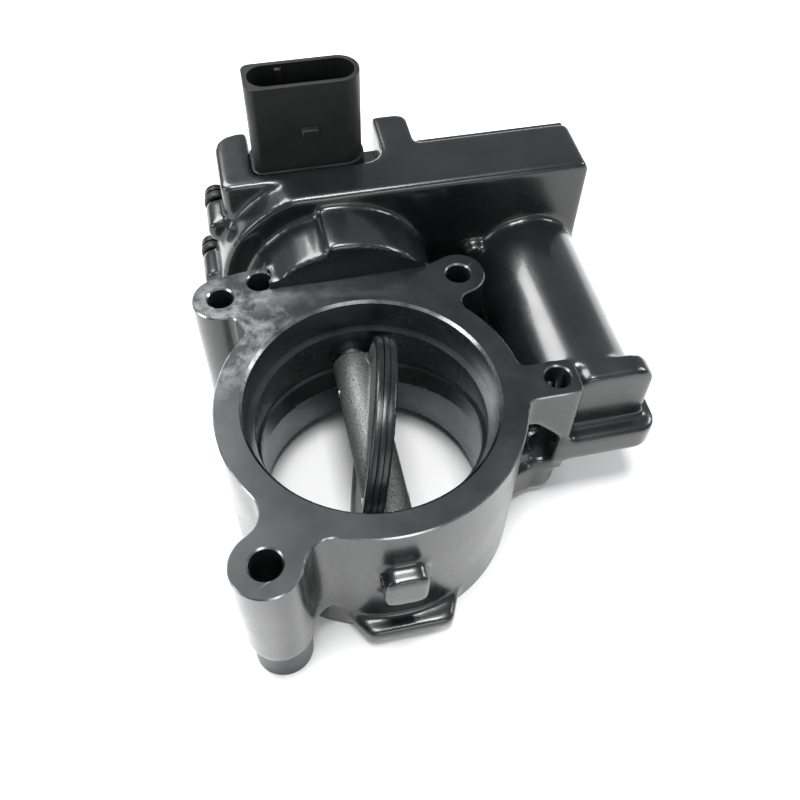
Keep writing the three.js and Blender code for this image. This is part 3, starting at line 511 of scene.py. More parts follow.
def new_group(name: str, inputs: dict[str, float], output: str) -> tuple[Graph, Node, Node]:
    """Opens a shader node group with float sockets.

    Args:
        name: The group's name.
        inputs: Input names with their defaults.
        output: The output's name.

    Returns:
        The group's graph, its input node and its output node.
    """
    tree = bpy.data.node_groups.new(name, "ShaderNodeTree")
    for key, value in inputs.items():
        socket = tree.interface.new_socket(name=key, in_out="INPUT", socket_type="NodeSocketFloat")
        socket.default_value = value
    tree.interface.new_socket(name=output, in_out="OUTPUT", socket_type="NodeSocketFloat")
    graph = Graph(tree)
    return graph, graph.node("NodeGroupInput"), graph.node("NodeGroupOutput")


class SharedEffects:
    """The surface effects that several finishes use, each built once."""

    sweep_centre = (0.12, 0.1, 0.0)

    def __init__(self) -> None:
        """Builds the groups."""
        self.grain = self._grain()
        self.wear = self._wear()
        self.smudge = self._smudge()
        self.tooling = self._tooling()

    def _grain(self) -> Tree:
        """Cast or moulded grain.

        Returns:
            A group with a Height from two sizes of noise.
        """
        graph, source, sink = new_group("surface_grain", {"Scale": 900.0, "Coarse Share": 0.3}, "Height")
        place = graph.place()
        fine = graph.noise(place, source.outputs["Scale"], 3.0)
        coarse = graph.noise(place, graph.math("MULTIPLY", source.outputs["Scale"], 0.14), 2.0)
        share = graph.math("MULTIPLY", coarse, source.outputs["Coarse Share"])
        total = graph.math("ADD", fine, share)
        graph.tree.links.new(total, sink.inputs["Height"])
        return graph.tree

    def _wear(self) -> Tree:
        """Rubbed edges.

        Returns:
            A group with a Mask that is 1 where a sharp edge is rubbed.
        """
        graph, source, sink = new_group("edge_wear", {"Threshold": 0.54, "Breakup": 220.0}, "Mask")
        edge = graph.node("ShaderNodeNewGeometry").outputs["Pointiness"]
        patches = graph.noise(graph.place(), source.outputs["Breakup"], 4.0)
        over = graph.math("SUBTRACT", edge, source.outputs["Threshold"])
        sharp = graph.math("MULTIPLY", over, 14.0, clamp=True)
        broken = graph.math("MULTIPLY", sharp, patches, clamp=True)
        graph.tree.links.new(broken, sink.inputs["Mask"])
        return graph.tree

    def _smudge(self) -> Tree:
        """Handling marks and oily patches.

        Returns:
            A group with a Value between Low and High.
        """
        sockets = {"Scale": 60.0, "Low": 0.25, "High": 0.4}
        graph, source, sink = new_group("handling_marks", sockets, "Value")
        patches = graph.noise(graph.place(), source.outputs["Scale"], 5.0, Roughness=0.65, Distortion=0.6)
        value = graph.spread(patches, (0.3, 0.7), (source.outputs["Low"], source.outputs["High"]))
        graph.tree.links.new(value, sink.inputs["Value"])
        return graph.tree

    def _tooling(self) -> Tree:
        """Fine scratches that run across a machined face in arcs.

        Returns:
            A group with a Height.
        """
        graph, source, sink = new_group("tool_marks", {"Scale": 700.0, "Sweep": 0.16}, "Height")
        moved = graph.node("ShaderNodeVectorMath", {0: graph.place(), 1: self.sweep_centre}, operation="ADD")
        parted = graph.node("ShaderNodeSeparateXYZ", {"Vector": moved.outputs["Vector"]})
        square_x = graph.math("MULTIPLY", parted.outputs["X"], parted.outputs["X"])
        square_y = graph.math("MULTIPLY", parted.outputs["Y"], parted.outputs["Y"])
        radius = graph.math("SQRT", graph.math("ADD", square_x, square_y), 0.0)
        swept = graph.math("MULTIPLY", parted.outputs["X"], source.outputs["Sweep"])
        along = graph.node("ShaderNodeCombineXYZ", {"X": radius, "Y": graph.math("MULTIPLY", swept, 0.2)})
        lines = graph.noise(along.outputs["Vector"], source.outputs["Scale"], 4.0)
        graph.tree.links.new(lines, sink.inputs["Height"])
        return graph.tree


EFFECTS = SharedEffects()


def open_material(name: str) -> tuple[bpy.types.Material, Graph, Node]:
    """Starts a material that holds one Principled shader.

    Args:
        name: The material's name.

    Returns:
        The material, its graph and the shader node.
    """
    material = bpy.data.materials.new(name)
    material.use_nodes = True
    graph = Graph(material.node_tree)
    return material, graph, material.node_tree.nodes["Principled BSDF"]


def effect(graph: Graph, tree: Tree, **inputs: object) -> Node:
    """Places a shared effect in a material.

    Args:
        graph: The material's graph.
        tree: The effect's group.
        **inputs: Its socket values; an underscore stands for a space.

    Returns:
        The group node.
    """
    sockets = {key.replace("_", " "): value for key, value in inputs.items()}
    return graph.node("ShaderNodeGroup", sockets, node_tree=tree)


def relief(graph: Graph, shader: Node, height: Socket, strength: float, depth: float) -> None:
    """Feeds a height to a shader's normal through a bump.

    Args:
        graph: The material's graph.
        shader: The shader.
        height: The height value.
        strength: The bump's strength.
        depth: The bump's distance in millimetres.
    """
    bump = graph.node("ShaderNodeBump", {"Height": height, "Strength": strength, "Distance": depth * MM})
    graph.tree.links.new(bump.outputs["Normal"], shader.inputs["Normal"])


@dataclass(frozen=True)
class Finish:
    """A finish with colour mottling, uneven gloss, grain and rubbed edges."""

    name: str
    dark: Colour
    light: Colour
    metallic: float = 0.0
    gloss: tuple[float, float] = (0.35, 0.5)
    grain_scale: float = 900.0
    grain_strength: float = 0.15
    grain_depth: float = 0.06
    mottle_scale: float = 120.0
    wear_and_sheen: Colour | None = None
    wear_from: float = 0.55
    coat: float = 0.0
    coat_roughness: float = 0.1
    specular: float = 0.5

    def build(self) -> bpy.types.Material:
        """Makes the material.

        Returns:
            The material.
        """
        material, graph, shader = open_material(self.name)
        mottle = graph.noise(graph.place(), self.mottle_scale, 4.0)
        colour = graph.ramp(mottle, [(0.3, self.dark), (0.7, self.light)])
        if self.wear_and_sheen is not None:
            mask = effect(graph, EFFECTS.wear, Threshold=self.wear_from).outputs["Mask"]
            colour = graph.mix(mask, colour, (*self.wear_and_sheen, 1))
        graph.tree.links.new(colour, shader.inputs["Base Color"])
        low, high = self.gloss
        gloss = effect(graph, EFFECTS.smudge, Scale=self.mottle_scale / 2, Low=low, High=high)
        graph.tree.links.new(gloss.outputs["Value"], shader.inputs["Roughness"])
        shader.inputs["Metallic"].default_value = self.metallic
        shader.inputs["Specular IOR Level"].default_value = self.specular
        shader.inputs["Coat Weight"].default_value = self.coat
        shader.inputs["Coat Roughness"].default_value = self.coat_roughness
        grain = effect(graph, EFFECTS.grain, Scale=self.grain_scale).outputs["Height"]
        relief(graph, shader, grain, self.grain_strength, self.grain_depth)
        return material


@dataclass(frozen=True)
class MachinedFinish:
    """A milled face: satin metal with fine tool marks and one brighter area that is a painted sheen."""

    name: str = "machined_face"
    base: Colour = (0.024, 0.026, 0.0265)
    mottled: float = 1.5
    # The bright colour serves the painted sheen round one point and the rubbed edges.
    bright: Colour = (0.30, 0.32, 0.33)
    sheen_at: tuple[float, float, float] = (-31.0, 30.0, 48.4)
    sheen_reach: float = 27.0
    rim_share: float = 0.8
    gloss: tuple[float, float] = (0.3, 0.42)

    def build(self) -> bpy.types.Material:
        """Makes the material.

        Returns:
            The material.
        """
        material, graph, shader = open_material(self.name)
        place = graph.place()
        low, high = self.base, tuple(channel * self.mottled for channel in self.base)
        plain = graph.ramp(graph.noise(place, 90.0, 5.0), [(0.35, low), (0.68, high)])
        # The mask mixes in the bright colour: a painted sheen round one point, and rubbed wear on the edges.
        wear_and_sheen = self._sheen_and_rim_wear(graph, place)
        graph.tree.links.new(graph.mix(wear_and_sheen, plain, (*self.bright, 1)), shader.inputs["Base Color"])
        shader.inputs["Metallic"].default_value = 0.85
        gloss = effect(graph, EFFECTS.smudge, Scale=70.0, Low=self.gloss[0], High=self.gloss[1])
        graph.tree.links.new(gloss.outputs["Value"], shader.inputs["Roughness"])
        marks = effect(graph, EFFECTS.tooling, Scale=2600.0).outputs["Height"]
        relief(graph, shader, marks, 0.12, 0.03)
        return material

    def _sheen_and_rim_wear(self, graph: Graph, place: Socket) -> Socket:
        """Where the face is drawn brighter: a painted sheen in patches round one point, and rubbed wear on
        its edges.

        Args:
            graph: The material's graph.
            place: The surface point.

        Returns:
            A mask.
        """
        # Painted sheen: brighter metal in patches round one point stands in for a reflected highlight on the
        # face.
        centre = tuple(LAYOUT.at(*self.sheen_at))
        away = graph.node("ShaderNodeVectorMath", {0: place, 1: centre}, operation="DISTANCE")
        near = graph.spread(away.outputs["Value"], (0.0, self.sheen_reach * MM), (1.0, 0.0))
        patches = graph.ramp(graph.noise(place, 150.0, 6.0, Roughness=0.7), [(0.44, (0.0,)), (0.66, (0.8,))])
        wear_and_sheen = graph.math("MULTIPLY", near, patches, clamp=True)
        rim = effect(graph, EFFECTS.wear, Threshold=0.56, Breakup=400.0).outputs["Mask"]
        return graph.math("MAXIMUM", wear_and_sheen, graph.math("MULTIPLY", rim, self.rim_share))


class Slot(Enum):
    """The record's material slots."""

    CASTING = "casting"
    FLAP_CASTING = "flap_casting"
    STEEL = "steel"
    DARK_STEEL = "dark_steel"
    BLACK_PLASTIC = "black_plastic"
    GEAR_PLASTIC = "gear_plastic"
    RUBBER = "rubber"
    BRASS = "brass"
    COPPER = "copper"
    MAGNET = "magnet"
    BOARD = "board"


FINISHES: dict[Slot, Finish] = {
    Slot.CASTING: Finish(
        "cast_skin",
        dark=(0.0045, 0.0050, 0.0053), light=(0.0085, 0.0093, 0.0098),
        gloss=(0.2, 0.34), mottle_scale=80.0,
        grain_scale=520.0, grain_strength=0.2, grain_depth=0.07,
        wear_and_sheen=(0.06, 0.064, 0.066), wear_from=0.555,
        coat=0.3, coat_roughness=0.11,
    ),
    Slot.FLAP_CASTING: Finish(
        "flap_casting",
        dark=(0.034, 0.036, 0.035), light=(0.2, 0.205, 0.2),
        metallic=0.6, gloss=(0.4, 0.58), mottle_scale=2400.0,
        grain_scale=2600.0, grain_strength=0.8, grain_depth=0.12,
        wear_and_sheen=(0.3, 0.3, 0.29), wear_from=0.57,
    ),
    Slot.STEEL: Finish(
        "bright_steel",
        dark=(0.42, 0.43, 0.44), light=(0.56, 0.57, 0.58),
        metallic=1.0, gloss=(0.24, 0.38),
        grain_scale=1400.0, grain_strength=0.05, grain_depth=0.03,
    ),
    Slot.DARK_STEEL: Finish(
        "dark_steel",
        dark=(0.012, 0.0125, 0.013), light=(0.028, 0.029, 0.03),
        metallic=0.5, gloss=(0.22, 0.36),
        grain_scale=1200.0, grain_strength=0.08, grain_depth=0.03,
    ),
    Slot.BLACK_PLASTIC: Finish(
        "black_plastic",
        dark=(0.0040, 0.0042, 0.0045), light=(0.0075, 0.0078, 0.0082),
        gloss=(0.4, 0.55), mottle_scale=160.0,
        grain_scale=1500.0, grain_strength=0.2, grain_depth=0.05,
        wear_and_sheen=(0.02, 0.02, 0.021), wear_from=0.58,
        specular=0.35,
    ),
    Slot.GEAR_PLASTIC: Finish(
        "gear_plastic",
        dark=(0.62, 0.58, 0.47), light=(0.74, 0.70, 0.59),
        gloss=(0.38, 0.5),
        grain_strength=0.08, grain_depth=0.04,
    ),
    Slot.RUBBER: Finish(
        "seal_rubber",
        dark=(0.012, 0.012, 0.012), light=(0.024, 0.024, 0.024),
        gloss=(0.62, 0.78),
        grain_scale=1100.0, grain_strength=0.25, grain_depth=0.05,
    ),
    Slot.BRASS: Finish(
        "turned_brass",
        dark=(0.52, 0.38, 0.15), light=(0.64, 0.49, 0.22),
        metallic=1.0, gloss=(0.24, 0.4),
        grain_scale=1300.0, grain_strength=0.06, grain_depth=0.03,
    ),
    Slot.COPPER: Finish(
        "wound_copper",
        dark=(0.46, 0.20, 0.09), light=(0.58, 0.28, 0.14),
        metallic=1.0, gloss=(0.3, 0.45),
        grain_scale=1600.0, grain_strength=0.2,
    ),
    Slot.MAGNET: Finish(
        "sintered_ferrite",
        dark=(0.035, 0.035, 0.037), light=(0.06, 0.06, 0.062),
        metallic=0.1, gloss=(0.55, 0.7),
        grain_scale=1800.0, grain_strength=0.35, grain_depth=0.05,
    ),
    Slot.BOARD: Finish(
        "circuit_board",
        dark=(0.012, 0.09, 0.035), light=(0.02, 0.13, 0.055),
        gloss=(0.3, 0.42),
        grain_scale=700.0, grain_strength=0.06, grain_depth=0.03,
    ),
}
FLOOR_PAPER = Finish(
    "floor_paper",
    dark=(0.88, 0.88, 0.88), light=(0.9, 0.9, 0.9),
    gloss=(0.85, 0.95), mottle_scale=3.0,
    grain_scale=60.0, grain_strength=0.01, grain_depth=0.01,
)
BORED_WALL = Finish(
    "bored_wall",
    dark=(0.05, 0.053, 0.055), light=(0.12, 0.126, 0.13),
    metallic=0.85, gloss=(0.2, 0.34), mottle_scale=60.0,
    grain_strength=0.06, grain_depth=0.03,
)
# Bright metal on the chamfered flange and bore edges: a painted highlight standing for the thin edge glint.
PAINTED_EDGE_HIGHLIGHT = Finish(
    "painted_highlight_chamfer",
    dark=(0.14, 0.147, 0.147), light=(0.36, 0.375, 0.375),
    metallic=1.0, gloss=(0.18, 0.32), mottle_scale=320.0,
    grain_scale=1200.0, grain_strength=0.1, grain_depth=0.03,
)


class Paintbox:
    """Every material, built once."""

    def __init__(self) -> None:
        """Builds the materials."""
        self.slots = {slot: finish.build() for slot, finish in FINISHES.items()}
        self.machined = MachinedFinish().build()
        self.bored = BORED_WALL.build()
        # The chamfers' finish is a painted highlight.
        self.edges = PAINTED_EDGE_HIGHLIGHT.build()

    def dress(self, obj: Part, slot: Slot, body: str) -> Part:
        """Gives a new piece its slot's material, where it has none yet, and the body it rides on.

        Args:
            obj: The piece.
            slot: Its slot.
            body: The CAD body it moves with.

        Returns:
            The piece.
        """
        if None in list(obj.data.materials) or not obj.data.materials:
            obj.data.materials.clear()
            obj.data.materials.append(self.slots[slot])
        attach(obj, body)
        return obj

    def dress_nodes(self) -> None:
        """Gives each carried-over CAD node its slot's material."""
        for entry in frame["record"]["subparts"]:
            mesh = frame["nodes"][entry["node"]].data
            mesh.materials.clear()
            mesh.materials.append(self.slots[Slot(entry["material_slot"])])


# ---------------------------------------------------------------------------
# The housing
# ---------------------------------------------------------------------------
@dataclass(frozen=True)
class BoltLug:
    """An upright bolt hole and the round lug about it, in millimetres from the bore axis."""

    name: str
    x: float
    y: float
    hole: float
    outside: float | None = None
    bottom: float = 0.0

    def reach(self, place: Vector) -> float:
        """How far a place lies from the hole's axis, in millimetres."""
        return (place - LAYOUT.at(self.x, self.y, 0)).xy.length / MM


PILLAR = BoltLug("pillar", -30.6, -38.4, 3.75, 8.3, 12)
LUGS = (
    PILLAR,
    BoltLug("rear_left", -32.6, 39.6, 3.3, 7.5, 8),
    BoltLug("dowel", -21.7, 43.7, 3.3, 4.9, 28),
    BoltLug("rear_right", 31.0, 36.2, 3.3, 7.3, 24),
    BoltLug("ear", 46.4, -2.9, 3.3),
)


@dataclass
class HousingCasting:
    """The die casting: a rounded as-cast skin, then crisp machined faces, bore and holes."""

    paint: Paintbox
    height: float = 48.4
    stock: float = 2.2
    voxel: float = 0.8
    passes: int = 11
    triangle_limit: int = 190_000
    painted_highlight_chamfer: float = 0.32
    countersink: float = 0.9
    barrel_radius: float = 38.2
    rear_edge: float = 40.4
    boss_left: float = -19.4
    boss_right: float = 22.8
    pillar_end_radius: float = 7.4
    motor_at: tuple[float, float, float] = (56.73, 1.7, 29.617)
    motor_radius: float = 16.2
    motor_reach: float = 55.0
    case_at: tuple[float, float, float] = (0.0, 56.0, 32.4)
    case_radius: float = 32.3
    case_depth: float = 19.0
    shaft_drill: float = 4.3
    front_drill: float = 5.7
    bore_profile: Profile = (
        (33.0, -6.0), (33.0, 3.0), (30.7, 3.0), (29.9, 3.8), (29.9, 20.4), (29.2, 21.2),
        (29.2, 39.0), (31.2, 39.0), (31.2, 47.7), (31.9, 48.4), (34.5, 51.0), (34.5, 56.0),
    )
    seat_profile: Profile = ((29.6, -4.4), (28.42, -2.9), (28.42, 2.9), (29.6, 4.4))
    seat_skew: float = 13.2

    def build(self) -> Part:
        """Makes the casting.

        Returns:
            The finished piece.
        """
        body = node_copy("main_housing", "housing_casting")
        self._leave_stock(body)
        gathered(body, self._rounds())
        skinned(body, self.voxel, self.passes)
        self._machine(body)
        lightened(body, self.triangle_limit)
        self._break_edges(body)
        smooth(body, 34)
        modify(body, "WEIGHTED_NORMAL", keep_sharp=True, weight=70)
        self._paint_faces(body)
        self.paint.dress(body, Slot.CASTING, "housing")
        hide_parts("main_housing")
        return body

    def _leave_stock(self, body: Part) -> None:
        """Leaves metal on the faces and in the holes that are machined later."""
        axis = LAYOUT.at(0, 0, 0)

        def on_flange(place: Vector) -> bool:
            """Tells the flange's face from the spring boss at the same height."""
            near = (place - axis) / MM
            beside_boss = near.y < 40.45 or not -20 < near.x < 23
            return abs(near.z - self.height) < 0.05 and beside_boss

        choose(body, on_flange)
        bpy.ops.transform.translate(value=(0, 0, self.stock * MM))
        choose(body, lambda p: p.z / MM < 0.05)
        bpy.ops.transform.translate(value=(0, 0, -self.stock * MM))
        choose(body, lambda p: 28 < (p - axis).xy.length / MM < 33.5)
        bpy.ops.transform.resize(value=(0.955, 0.955, 1), center_override=axis)
        for lug in LUGS:
            choose(body, lambda p: lug.reach(p) < lug.hole + 0.1)
            bpy.ops.transform.resize(value=(0.6, 0.6, 1), center_override=LAYOUT.at(lug.x, lug.y, 0))
        done()

    def _rounds(self) -> list[Part]:
        """Thin sleeves that fill the casting's faceted rounds out to true circles.

        Returns:
            The sleeves.
        """
        top = self.height + self.stock
        low = -self.stock
        upright = [
            ("barrel", 0, 0, self.barrel_radius, low, top, 3),
            ("pillar_end", PILLAR.x, PILLAR.y, self.pillar_end_radius, low, PILLAR.bottom + 1, 2),
        ]
        upright += [(lug.name, lug.x, lug.y, lug.outside, lug.bottom, top, 2) for lug in LUGS if lug.outside]
        sleeves = [
            self._sleeve(name, LAYOUT.at(x, y, bottom), Axis.UPRIGHT, radius, end - bottom, wall)
            for name, x, y, radius, bottom, end, wall in upright
        ]
        motor_at = LAYOUT.at(*self.motor_at)
        sleeves.append(self._sleeve("motor", motor_at, Axis.LYING, self.motor_radius, self.motor_reach, 1.6))
        case_at = LAYOUT.at(*self.case_at)
        case = self._sleeve("case", case_at, Axis.LYING, self.case_radius, self.case_depth, 1.6)
        cut(case, slab("case_top", LAYOUT.at(-40, 50, 52), LAYOUT.at(40, 80, 80)))
        cut(case, slab("case_right", LAYOUT.at(5, 50, -5), LAYOUT.at(40, 80, 80)))
        sleeves.append(case)
        return sleeves

    def _sleeve(self, name: str, at: Vector, axis: Axis, radius: float, reach: float, wall: float) -> Part:
        """A round tube.

        Args:
            name: The sleeve's name.
            at: The centre of its first end.
            axis: Which way it runs.
            radius: Its outer radius in millimetres.
            reach: Its length in millimetres.
            wall: Its wall in millimetres.

        Returns:
            The sleeve.
        """
        tube = bar(name, at, axis, radius, reach, 160)
        back = Vector((0, 0, MM)) if axis is Axis.UPRIGHT else Vector((0, MM, 0))
        return cut(tube, bar(f"{name}_inside", at - back, axis, radius - wall, reach + 2, 160))

    def _machine(self, body: Part) -> None:
        """Cuts the flange and the base flat, then bores the casting."""
        top = self.height
        left, right = self.boss_left, self.boss_right
        cut(
            body,
            slab("flange_mill", LAYOUT.at(-60, -60, top), LAYOUT.at(60, self.rear_edge, top + 8)),
            slab("flange_mill_left", LAYOUT.at(-60, 30, top), LAYOUT.at(left, 51.5, top + 8)),
            slab("flange_mill_right", LAYOUT.at(right, 30, top), LAYOUT.at(42, 46, top + 8)),
            slab("base_mill", LAYOUT.at(-70, -80, -10), LAYOUT.at(120, 120, 0)),
        )
        bore = turning("bore_tool", self.bore_profile)
        cut(bore, self._seat())
        cut(body, bore)
        for lug in LUGS:
            cut(body, bar("drill", LAYOUT.at(lug.x, lug.y, -2), Axis.UPRIGHT, lug.hole, 64, 64))
            cut(body, self._countersink(lug))
        shaft_z = LAYOUT.shaft_z / MM
        cut(
            body,
            bar("shaft_drill", LAYOUT.at(0, -30.5, shaft_z), Axis.LYING, self.shaft_drill, 80, 64),
            bar("front_drill", LAYOUT.at(0, -39.5, shaft_z), Axis.LYING, self.front_drill, 12, 64),
        )

    def _countersink(self, lug: BoltLug) -> Part:
        """The small cone that breaks a bolt hole's edge.

        Args:
            lug: The hole's lug.

        Returns:
            The cone.
        """
        low = self.height - 0.01
        profile = ((lug.hole, low), (lug.hole + self.countersink, low + self.countersink))
        cone = turning("countersink", profile, 64)
        choose(cone, lambda p: True)
        bpy.ops.transform.translate(value=(lug.x * MM, lug.y * MM, -0.4 * MM))
        done()
        return cone

    def _break_edges(self, body: Part) -> None:
        """Chamfers the milled flange face all round its outline."""
        choose(body, lambda p: abs(p.z / MM - self.height) < 0.01)
        bpy.ops.mesh.remove_doubles(threshold=0.12 * MM)
        done()
        uses: dict[tuple[int, int], int] = {}
        for face in body.data.polygons:
            if abs(face.center.z / MM - self.height) < 0.01 and face.normal.z > 0.99:
                for key in face.edge_keys:
                    uses[key] = uses.get(key, 0) + 1
        axis = LAYOUT.at(0, 0, self.height)
        vertices = body.data.vertices
        choose(body, lambda p: False)
        bpy.ops.mesh.select_mode(type="EDGE")
        bpy.ops.object.mode_set(mode="OBJECT")
        for edge in body.data.edges:
            ends = [vertices[i].co for i in edge.vertices]
            outside = all((end - axis).xy.length / MM > 33 for end in ends)
            drilled = any(lug.reach(ends[0]) < lug.hole + 0.8 for lug in LUGS)
            edge.select = uses.get(edge.key, 0) == 1 and outside and not drilled
        bpy.ops.object.mode_set(mode="EDIT")
        bpy.ops.mesh.bevel(offset=self.painted_highlight_chamfer * MM, segments=1, clamp_overlap=False)
        done()

    def _seat(self) -> Part:
        """The skewed band that the closed flap's ring runs into.

        Returns:
            The band, leaning as the closed flap does.
        """
        outer = turning("seat", ((31.5, -4.5), (31.5, 4.5)))
        (first, low), *_, (last, high) = self.seat_profile
        cut(outer, turning("seat_way", ((first, low - 1), *self.seat_profile, (last, high + 1))))
        lift = Matrix.Translation((0, 0, LAYOUT.shaft_z))
        outer.matrix_world = lift @ about(LAYOUT.at(0, 0, 0), -self.seat_skew, "X")
        return settle(outer, "seat")

    def _beside_flange(self, place: Vector) -> bool:
        """Tells the flange's own edges from the fillets of what stands behind it.

        Args:
            place: A point on the casting.

        Returns:
            True in front of the spring boss's face, or beside it.
        """
        near = (place - LAYOUT.at(0, 0, 0)) / MM
        past_boss = not self.boss_left < near.x < self.boss_right
        return near.y < 40.2 or (near.y < 51.5 and past_boss)

    def _face_finish(self, place: Vector, normal: Vector) -> int:
        """Chooses a face's finish.

        Args:
            place: The face's centre.
            normal: Which way it looks.

        Returns:
            0 as cast, 1 milled, 2 bored, 3 a broken edge painted bright as a highlight.
        """
        height = place.z / MM
        if abs(height - self.height) < 0.02 and normal.z > 0.9:
            return 1
        # Chamfer faces beside the flange take the bright painted highlight finish.
        chamfer = self.height - 0.9 < height < self.height and 0.4 < normal.z < 0.9
        if chamfer and self._beside_flange(place):
            return 3
        if height < 0.02 and normal.z < -0.9:
            return 1
        from_bore = (place - LAYOUT.at(0, 0, 0)).xy.length / MM
        if from_bore < 33.2 and height < self.height + 0.1:
            return 1 if height > 47.6 else 2
        if any(lug.reach(place) < lug.hole + 0.6 for lug in LUGS):
            return 1 if height > self.height - 0.5 else 2
        return int(height < PILLAR.bottom and PILLAR.reach(place) < self.pillar_end_radius + 0.2)

    def _paint_faces(self, body: Part) -> None:
        """Gives the machined faces and the bored walls their own finishes, and the broken edges a painted
        highlight.
        """
        mesh = body.data
        mesh.materials.clear()
        paint = self.paint
        for material in (paint.slots[Slot.CASTING], paint.machined, paint.bored, paint.edges):
            mesh.materials.append(material)
        for face in mesh.polygons:
            face.material_index = self._face_finish(face.center, face.normal)


# ---------------------------------------------------------------------------
# The flap
# ---------------------------------------------------------------------------
@dataclass
class FlapCasting:
    """The disc with its hub, and the spring ring in its groove, standing open."""

    paint: Paintbox
    radius: float = 27.8
    rim: float = 5.2
    web: float = 3.0
    rim_width: float = 3.6
    rim_slope: float = 1.0
    edge: float = 0.4
    skew: float = 13.2
    rest: float = 82.0
    hub_radius: float = 5.8
    hub_half: float = 26.6
    bore: float = 4.3
    ring_width: float = 1.2
    ring_depth: float = 1.2
    play: float = 0.3
    split: float = 1.0
    split_at: float = 150.0
    sides: int = 192
    voxel: float = 0.42
    passes: int = 4
    triangle_limit: int = 120_000

    def build(self) -> list[Part]:
        """Makes the flap and its ring.

        Returns:
            Both pieces.
        """
        half_rim, half_web = self.rim / 2, self.web / 2
        inner = self.radius - self.rim_width
        upper = (
            (inner - self.rim_slope, half_web),
            (inner, half_rim),
            (self.radius - self.edge, half_rim),
            (self.radius, half_rim - self.edge),
        )
        profile = [(radius, -height) for radius, height in upper] + list(reversed(upper))
        disc = turning("flap_disc", profile, self.sides)
        self._lay(disc)
        shaft_z = LAYOUT.shaft_z / MM
        hub_at = LAYOUT.at(0, -self.hub_half, shaft_z)
        gathered(disc, [bar("flap_hub", hub_at, Axis.LYING, self.hub_radius, 2 * self.hub_half)])
        skinned(disc, self.voxel, self.passes)
        groove_width = self.ring_width + 2 * self.play
        groove = self._band("groove", self.radius + 2, self.radius - self.ring_depth, groove_width)
        way = bar("flap_way", LAYOUT.at(0, -35, shaft_z), Axis.LYING, self.bore, 70, 64)
        cut(disc, groove, way)
        lightened(disc, self.triangle_limit)
        self._open(disc)
        flap = smooth(settle(disc, "flap_casting"), 36)
        self._paint_rim(flap)
        self.paint.dress(flap, Slot.FLAP_CASTING, "throttle")
        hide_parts("throttle_flap")
        return [flap, self._ring()]

    def _paint_rim(self, flap: Part) -> None:
        """Gives the disc's turned edge its dark finish; the rest stays as cast."""
        mesh = flap.data
        mesh.materials.clear()
        mesh.materials.append(self.paint.slots[Slot.FLAP_CASTING])
        mesh.materials.append(self.paint.slots[Slot.DARK_STEEL])
        centre = LAYOUT.at(0, 0, LAYOUT.shaft_z / MM)
        swing = Matrix.Rotation(math.radians(self.rest), 3, "Y")
        lean = Matrix.Rotation(math.radians(self.skew), 3, "X")
        for face in mesh.polygons:
            flat = lean @ (swing @ (face.center - centre)) / MM
            on_edge = flat.xy.length > self.radius - self.ring_depth - 0.7
            face.material_index = int(on_edge and abs(flat.z) < self.rim / 2 + 0.2)

    def _ring(self) -> Part:
        """The split spring ring.

        Returns:
            The ring.
        """
        outer = self.radius + self.play
        ring = self._band("flap_ring", outer, outer - self.ring_depth, self.ring_width)
        half, shaft_z = self.split / 2, LAYOUT.shaft_z / MM
        low = LAYOUT.at(-half, outer - 3, shaft_z - 12)
        high = LAYOUT.at(half, outer + 2, shaft_z + 12)
        split = slab("ring_split", low, high)
        split.matrix_world = about(LAYOUT.at(0, 0, 0), self.split_at - 180, "Z")
        cut(ring, settle(split, "ring_split"))
        soften(ring, 0.12, 2)
        self._open(ring)
        smooth(settle(ring, "flap_ring"), 36)
        self.paint.dress(ring, Slot.DARK_STEEL, "throttle")
        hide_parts("flap_seal_ring")
        return ring

    def _band(self, name: str, outer: float, inner: float, width: float) -> Part:
        """A flat ring in the closed flap's plane.

        Args:
            name: The ring's name.
            outer: Its outer radius in millimetres.
            inner: Its inner radius in millimetres.
            width: Its width in millimetres.

        Returns:
            The ring.
        """
        band = turning(name, ((outer, -width / 2), (outer, width / 2)), self.sides)
        cut(band, turning(f"{name}_inside", ((inner, -width), (inner, width)), self.sides))
        self._lay(band)
        return band

    def _lay(self, obj: Part) -> None:
        """Leans a solid made at height zero into the closed flap's plane."""
        lift = Matrix.Translation((0, 0, LAYOUT.shaft_z))
        obj.matrix_world = lift @ about(LAYOUT.at(0, 0, 0), -self.skew, "X")
        settle(obj, obj.name)

    def _open(self, obj: Part) -> None:
        """Turns a closed piece to the open rest pose."""
        obj.matrix_world = about(LAYOUT.at(0, 0, LAYOUT.shaft_z / MM), -self.rest, "Y")
        settle(obj, obj.name)


